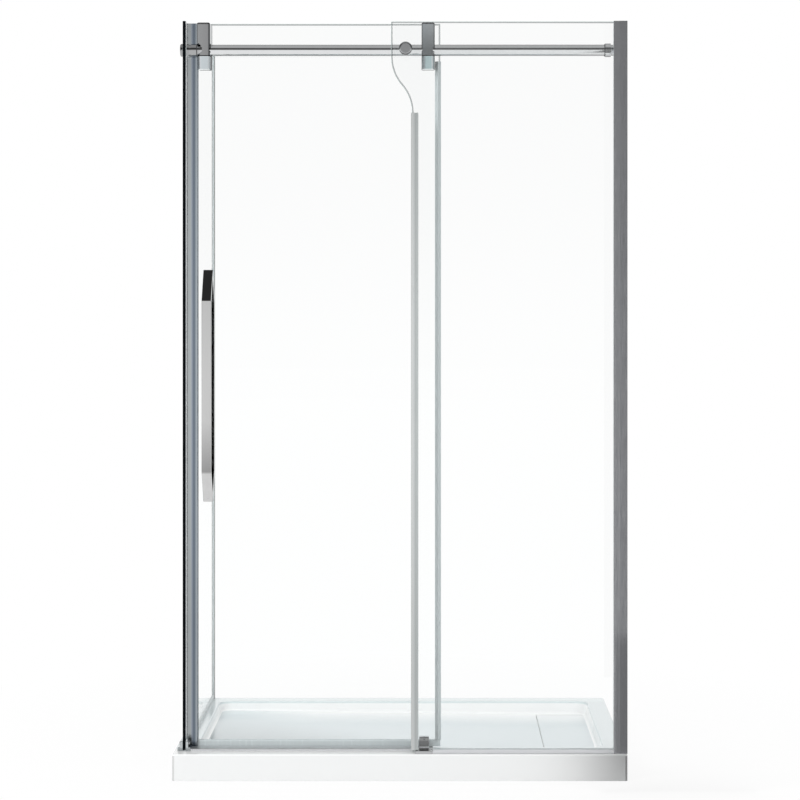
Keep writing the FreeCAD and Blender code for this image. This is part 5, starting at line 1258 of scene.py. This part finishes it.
class SHOWER_OT_hangers(Operator):
    """Finish the hangers that carry the door"""

    bl_idname = "shower.hangers"
    bl_label = "Hangers"

    def execute(self, context):
        colours = context.scene.shower_colours
        finish_nodes(polished_metal("plate_chrome", colours.hanger, roughness=0.07), "hanger_clamp_plates")
        for side in ("left", "right"):
            low, high = at_node("hanger_body_" + side)
            # Painted reflection bands across each hanger, painted shade down toward the rail and on its
            # top faces.
            fade = (middle_of("rail_tube").z, high.z, greys((0.0, HANGER_PAINTED_SHADE[side]), (1.0, 1.0)))
            body = polished_metal("hanger_chrome_" + side, colours.hanger, roughness=0.07,
                                  across=(low.x, high.x, HANGER_PAINTED_REFLECTIONS[side]), along=fade,
                                  top=HANGER_TOP_PAINTED_SHADE)
            finish_nodes(body, "hanger_body_" + side)
            low, high = at_node("keeper_block_" + side)
            # Painted reflection bands across each keeper.
            keeper = polished_metal("keeper_chrome_" + side, colours.hanger, roughness=0.1,
                                    across=(low.x, high.x, KEEPER_PAINTED_REFLECTIONS[side]))
            finish_nodes(keeper, "keeper_block_" + side)
        steel = polished_metal("hanger_steel", colours.steel, roughness=0.2)
        finish_nodes(steel, "keeper_screws", "roller_axles")
        finish_nodes(rubber("hanger_rubber", colours.rubber), "hanger_pads")
        return {"FINISHED"}


class SHOWER_OT_rollers(Operator):
    """Finish the grooved rollers and their bearings"""

    bl_idname = "shower.rollers"
    bl_label = "Rollers"

    def execute(self, context):
        colours = context.scene.shower_colours
        sizes = context.scene.shower_sizes
        finish_nodes(nylon("roller_nylon", colours.white_nylon), "roller_left", "roller_right")
        steel = polished_metal("bearing_steel", colours.steel, roughness=0.12)
        for side in ("left", "right"):
            node = "roller_bearings_" + side
            piece = bearings("ball_bearings_" + side, node, sizes, steel)
            dress(piece, "roller_" + side + "_body", "steel", node)
        return {"FINISHED"}


class SHOWER_OT_handles(Operator):
    """Finish the pull handles"""

    bl_idname = "shower.handles"
    bl_label = "Handles"

    def execute(self, context):
        colours = context.scene.shower_colours
        low, high = at_node("handle_outside")
        # Painted reflection bands along the outside handle and painted shade on its top faces.
        outside = drawn_metal("handle_steel", colours.handle, "Z", roughness=0.12,
                              along=(low.z, high.z, HANDLE_PAINTED_REFLECTIONS), top=HANDLE_TOP_PAINTED_SHADE)
        finish_nodes(outside, "handle_outside")
        # Painted shade on the inside handle's top and front faces.
        inside = drawn_metal("inside_handle_steel", colours.handle, "Z", roughness=0.12,
                             top=HANDLE_TOP_PAINTED_SHADE, front=INSIDE_HANDLE_PAINTED_SHADE)
        finish_nodes(inside, "handle_inside")
        # Painted shade on the studs in the handle's upper part.
        studs = polished_metal("handle_stud_steel", colours.steel, roughness=0.2,
                               along=(low.z, high.z, STUD_PAINTED_SHADE))
        finish_nodes(studs, "handle_studs")
        finish_nodes(rubber("handle_rubber", colours.rubber), "handle_washers")
        return {"FINISHED"}


class SHOWER_OT_seals(Operator):
    """Make the clear seals on the door and the fixed pane"""

    bl_idname = "shower.seals"
    bl_label = "Seals"

    def execute(self, context):
        colours = context.scene.shower_colours
        sizes = context.scene.shower_sizes
        vinyl = clear_vinyl("seal_vinyl", colours.vinyl)
        finish_nodes(vinyl, "return_foot_seal", "glazing_gaskets", "fitting_gaskets")
        upright_strip("nose_seal_strip", "nose_seal", nose_outline, sizes, SEAL_ROUND, vinyl,
                      "door", "clear_vinyl")
        # The trailing seal is a lighter copy of the vinyl: painted light.
        lit_trailing_vinyl = clear_vinyl("trailing_vinyl", shade(colours.vinyl, TRAILING_PAINTED_LIGHT))
        upright_strip("trailing_seal_strip", "trailing_seal", trailing_outline, sizes, SEAL_ROUND, lit_trailing_vinyl,
                      "door", "clear_vinyl")
        upright_strip("splash_blade", "fixed_splash_fin", fin_outline, sizes, THIN_ROUND, vinyl,
                      "enclosure", "clear_vinyl")
        low, high = at_node("door_sweep")
        outline = sweep_outline(sizes, low, high, at_node("door_glass")[0].z)
        turned = [(-y, -z) for y, z in soften(outline, THIN_ROUND)]
        # The sweep is a lighter copy of the vinyl: painted light.
        clear = clear_vinyl("sweep_vinyl", shade(colours.vinyl, SWEEP_PAINTED_LIGHT))
        sweep = strip("bottom_sweep", turned, (low.x, 0.0, 0.0), (high.x, 0.0, 0.0), clear)
        dress(sweep, "door", "clear_vinyl", "door_sweep")
        return {"FINISHED"}


class SHOWER_OT_cushions(Operator):
    """Finish the rubber cushion, tape and stop faces"""

    bl_idname = "shower.cushions"
    bl_label = "Cushions"

    def execute(self, context):
        soft = rubber("cushion_rubber", context.scene.shower_colours.rubber)
        finish_nodes(soft, "strike_tape", "rail_stop_pads")
        upright_strip("strike_cushion", "strike_bumper", cushion_outline, context.scene.shower_sizes,
                      THIN_ROUND, soft, "enclosure", "black_rubber")
        return {"FINISHED"}


class SHOWER_OT_guide(Operator):
    """Finish the bottom guide"""

    bl_idname = "shower.guide"
    bl_label = "Guide"

    def execute(self, context):
        colours = context.scene.shower_colours
        # The guide base is a darker copy of the chrome: painted shade.
        base = polished_metal("guide_chrome", shade(colours.chrome, GUIDE_PAINTED_SHADE), roughness=0.1)
        finish_nodes(base, "guide_base")
        finish_nodes(nylon("guide_nylon", colours.dark_nylon), "guide_block_back")
        # A pale foot painted on the front guide block: a painted highlight.
        height = at_node("guide_block_front")[0].z + context.scene.shower_sizes.guide_foot
        front = nylon("front_guide_nylon", colours.dark_nylon, (height, colours.guide_foot))
        finish_nodes(front, "guide_block_front")
        return {"FINISHED"}


class SHOWER_OT_screws(Operator):
    """Make the screws of the frame and the hangers"""

    bl_idname = "shower.screws"
    bl_label = "Screws"

    def execute(self, context):
        steel = polished_metal("screw_steel", context.scene.shower_colours.steel, roughness=0.16)
        dress(screws("frame_screw_set", frame_screw_rows(), steel), "enclosure", "steel", "frame_screws")
        dress(screws("hanger_bolt_set", hanger_bolt_rows(), steel), "door", "steel", "hanger_bolts")
        return {"FINISHED"}


# Studio

SKY_BANDS = greys(
    (0.00, 0.95), (0.49, 0.90), (0.52, 0.66), (0.562, 0.52), (0.585, 0.10), (0.83, 0.05), (0.88, 0.46),
    (1.00, 0.50),
)
SIDE_TONE = (0.08, 0.08, 0.08)
BACK_TONE = (0.97, 0.97, 0.97)
FLOOR_TONE = (0.9, 0.9, 0.9)

# Parts of the sky, as lengths of its unit vector

ZENITH_LIFT = 0.1
AHEAD = (-0.2, -0.9)
AHEAD_LIFT = 0.5
SIDEWAYS = (0.75, 0.95)
BEHIND = (0.3, 0.6)
BACK_HEIGHT = 0.3

# Places and sizes in metres. A card is its two sides, its depth and its height.

FLOOR_GAP = 0.5 * MM
SHADOW_REACH = (0.7, 1.6)
SHADOW_SHARE = 0.12
LAMP_AIM = (0.0, 0.0, 0.7)
LAMP_SIZE = 2.0
KEY_PLACE = (-2.6, -2.6, 3.0)
FILL_PLACE = (3.4, -3.0, 3.0)
JAMB_CARD = ((0.66, 0.82), -1.9, 2.4)
JAMB_FOOT_CARD = ((0.582, 0.67), -0.64, 0.34)
CORNER_CARD = ((0.52, 0.92), -0.52, 0.28)


def flat_card(name, corners, material):
    """A flat four-cornered sheet that is part of the studio."""
    mesh = bpy.data.meshes.new(name)
    mesh.from_pydata(corners, [], [(0, 1, 2, 3)])
    mesh.materials.append(material)
    card = linked(name, mesh)
    return card


def plain_light(tree, level):
    """A surface of one brightness, however it is lit."""
    return add_node(tree, "ShaderNodeEmission", Color=WHITE, Strength=level)


def floor_material():
    """A white floor that keeps a soft shadow near the tray."""
    material = bpy.data.materials.new("studio_floor")
    tree = empty_tree(material)
    white = plain_light(tree, 1.0)
    lit = add_node(tree, "ShaderNodeBsdfDiffuse", Color=FLOOR_TONE)
    away = add_node(tree, "ShaderNodeVectorMath", {"operation": "LENGTH"}, Vector=texture_place(tree))
    near = ranged(tree, away.outputs["Value"], *SHADOW_REACH, SHADOW_SHARE, 0.0)
    soft = blend_shaders(tree, near, white, lit)
    path = add_node(tree, "ShaderNodeLightPath").outputs
    seen = any_of(tree, path["Is Camera Ray"], path["Is Glossy Ray"], path["Is Transmission Ray"])
    shown = blend_shaders(tree, seen, lit, soft)
    add_node(tree, "ShaderNodeOutputMaterial", Surface=shown.outputs["Shader"])
    return material


def studio_world(room_light):
    """White to the camera and through glass, even light on surfaces, and bands of light and dark in
    metal."""
    world = bpy.data.worlds.new("studio")
    tree = empty_tree(world)
    way = axes_of(tree, "Generated")
    above = ranged(tree, way["Z"], 0.0, 1.0, room_light, room_light + ZENITH_LIFT)
    ahead = rise_of(tree, "Generated", "Y", *AHEAD)
    lit = maths(tree, "MULTIPLY_ADD", ahead, AHEAD_LIFT, above)
    even = add_node(tree, "ShaderNodeBackground", Color=WHITE, Strength=lit)
    white = add_node(tree, "ShaderNodeBackground", Color=WHITE, Strength=1.0)
    bands = tone_ramp(tree, rise_of(tree, "Generated", "Z", -1.0, 1.0), SKY_BANDS)
    sideways = ranged(tree, size_of(tree, way["X"]), *SIDEWAYS)
    mirrored = blend_colours(tree, sideways, bands, SIDE_TONE)
    low_down = is_under(tree, size_of(tree, way["Z"]), BACK_HEIGHT)
    behind = all_of(tree, rise_of(tree, "Generated", "Y", *BEHIND), low_down)
    mirrored = blend_colours(tree, behind, mirrored, BACK_TONE)
    shown = add_node(tree, "ShaderNodeBackground", Color=mirrored, Strength=1.0)
    path = add_node(tree, "ShaderNodeLightPath").outputs
    lights = blend_shaders(tree, path["Is Glossy Ray"], even, shown)
    seen = any_of(tree, path["Is Camera Ray"], path["Is Transmission Ray"])
    sky = blend_shaders(tree, seen, lights, white)
    add_node(tree, "ShaderNodeOutputWorld", Surface=sky.outputs["Shader"])
    return world


def ray_card(name, across, depth, height, level, rays):
    """A plain card, facing the back, that only some kinds of ray meet."""
    left, right = across
    corners = [(left, depth, 0.0), (right, depth, 0.0), (right, depth, height), (left, depth, height)]
    material = bpy.data.materials.new(name)
    tree = empty_tree(material)
    light = plain_light(tree, level)
    add_node(tree, "ShaderNodeOutputMaterial", Surface=light.outputs["Emission"])
    card = flat_card(name, corners, material)
    for kind in ("camera", "diffuse", "glossy", "shadow", "transmission"):
        setattr(card, "visible_" + kind, kind in rays)


def area_lamp(name, place, power):
    """A square lamp that lights the tray's front and shows in no mirror."""
    lamp = bpy.data.lights.new(name, "AREA")
    lamp.energy = power
    lamp.shape = "RECTANGLE"
    lamp.size = LAMP_SIZE
    lamp.size_y = LAMP_SIZE
    holder = linked(name, lamp)
    holder.location = place
    holder.visible_glossy = False
    holder.rotation_euler = (Vector(LAMP_AIM) - Vector(place)).to_track_quat("-Z", "Y").to_euler()


class SHOWER_OT_stage(Operator):
    """Set the floor, the lamps, the background and the camera"""

    bl_idname = "shower.stage"
    bl_label = "Studio"

    def execute(self, context):
        scene = context.scene
        studio = scene.shower_studio
        half = studio.floor_size / 2
        height = CAD_BOX[0][2] - FLOOR_GAP
        corners = [(x * half, y * half, height) for x, y in ((-1, -1), (1, -1), (1, 1), (-1, 1))]
        flat_card("studio_floor", corners, floor_material())
        scene.world = studio_world(studio.room_light)
        area_lamp("key_lamp", KEY_PLACE, studio.key_power)
        area_lamp("fill_lamp", FILL_PLACE, studio.fill_power)
        ray_card("jamb_card", *JAMB_CARD, studio.card_level, ("glossy",))
        ray_card("jamb_foot_card", *JAMB_FOOT_CARD, studio.card_level, ("glossy",))
        ray_card("corner_card", *CORNER_CARD, 0.0, ("diffuse", "shadow"))
        lens = bpy.data.cameras.new("photo_camera")
        lens.lens = studio.lens
        lens.shift_x, lens.shift_y = studio.shift
        camera = linked("photo_camera", lens)
        camera.location = studio.camera_place
        camera.rotation_euler = (math.radians(90), 0.0, 0.0)
        scene.camera = camera
        scene.view_settings.view_transform = "Standard"
        return {"FINISHED"}


# Add-on

OPERATORS = (
    SHOWER_OT_tray, SHOWER_OT_waste, SHOWER_OT_glass, SHOWER_OT_frame, SHOWER_OT_rail,
    SHOWER_OT_hangers, SHOWER_OT_rollers, SHOWER_OT_handles, SHOWER_OT_seals,
    SHOWER_OT_cushions, SHOWER_OT_guide, SHOWER_OT_screws, SHOWER_OT_stage,
)
GROUPS = {"shower_colours": ShowerColours, "shower_sizes": ShowerSizes, "shower_studio": ShowerStudio}


class SHOWER_PT_panel(Panel):
    """Sizes, colours and making steps of the shower door"""

    bl_label = "Shower door"
    bl_idname = "SHOWER_PT_panel"
    bl_space_type = "VIEW_3D"
    bl_region_type = "UI"
    bl_category = "Shower"

    def draw(self, context):
        for group in GROUPS:
            box = self.layout.box()
            settings = getattr(context.scene, group)
            for name in settings.bl_rna.properties.keys():
                if name not in ("rna_type", "name"):
                    box.prop(settings, name)
        for operator in OPERATORS:
            self.layout.operator(operator.bl_idname)


CLASSES = (*GROUPS.values(), *OPERATORS, SHOWER_PT_panel)


def register():
    for made in CLASSES:
        bpy.utils.register_class(made)
    for name, group in GROUPS.items():
        setattr(bpy.types.Scene, name, PointerProperty(type=group))


def unregister():
    for name in GROUPS:
        delattr(bpy.types.Scene, name)
    for made in reversed(CLASSES):
        bpy.utils.unregister_class(made)


def main():
    """Make everything in order."""
    register()
    for operator in OPERATORS:
        family, step = operator.bl_idname.split(".")
        getattr(getattr(bpy.ops, family), step)()


if __name__ == "__main__":
    main()
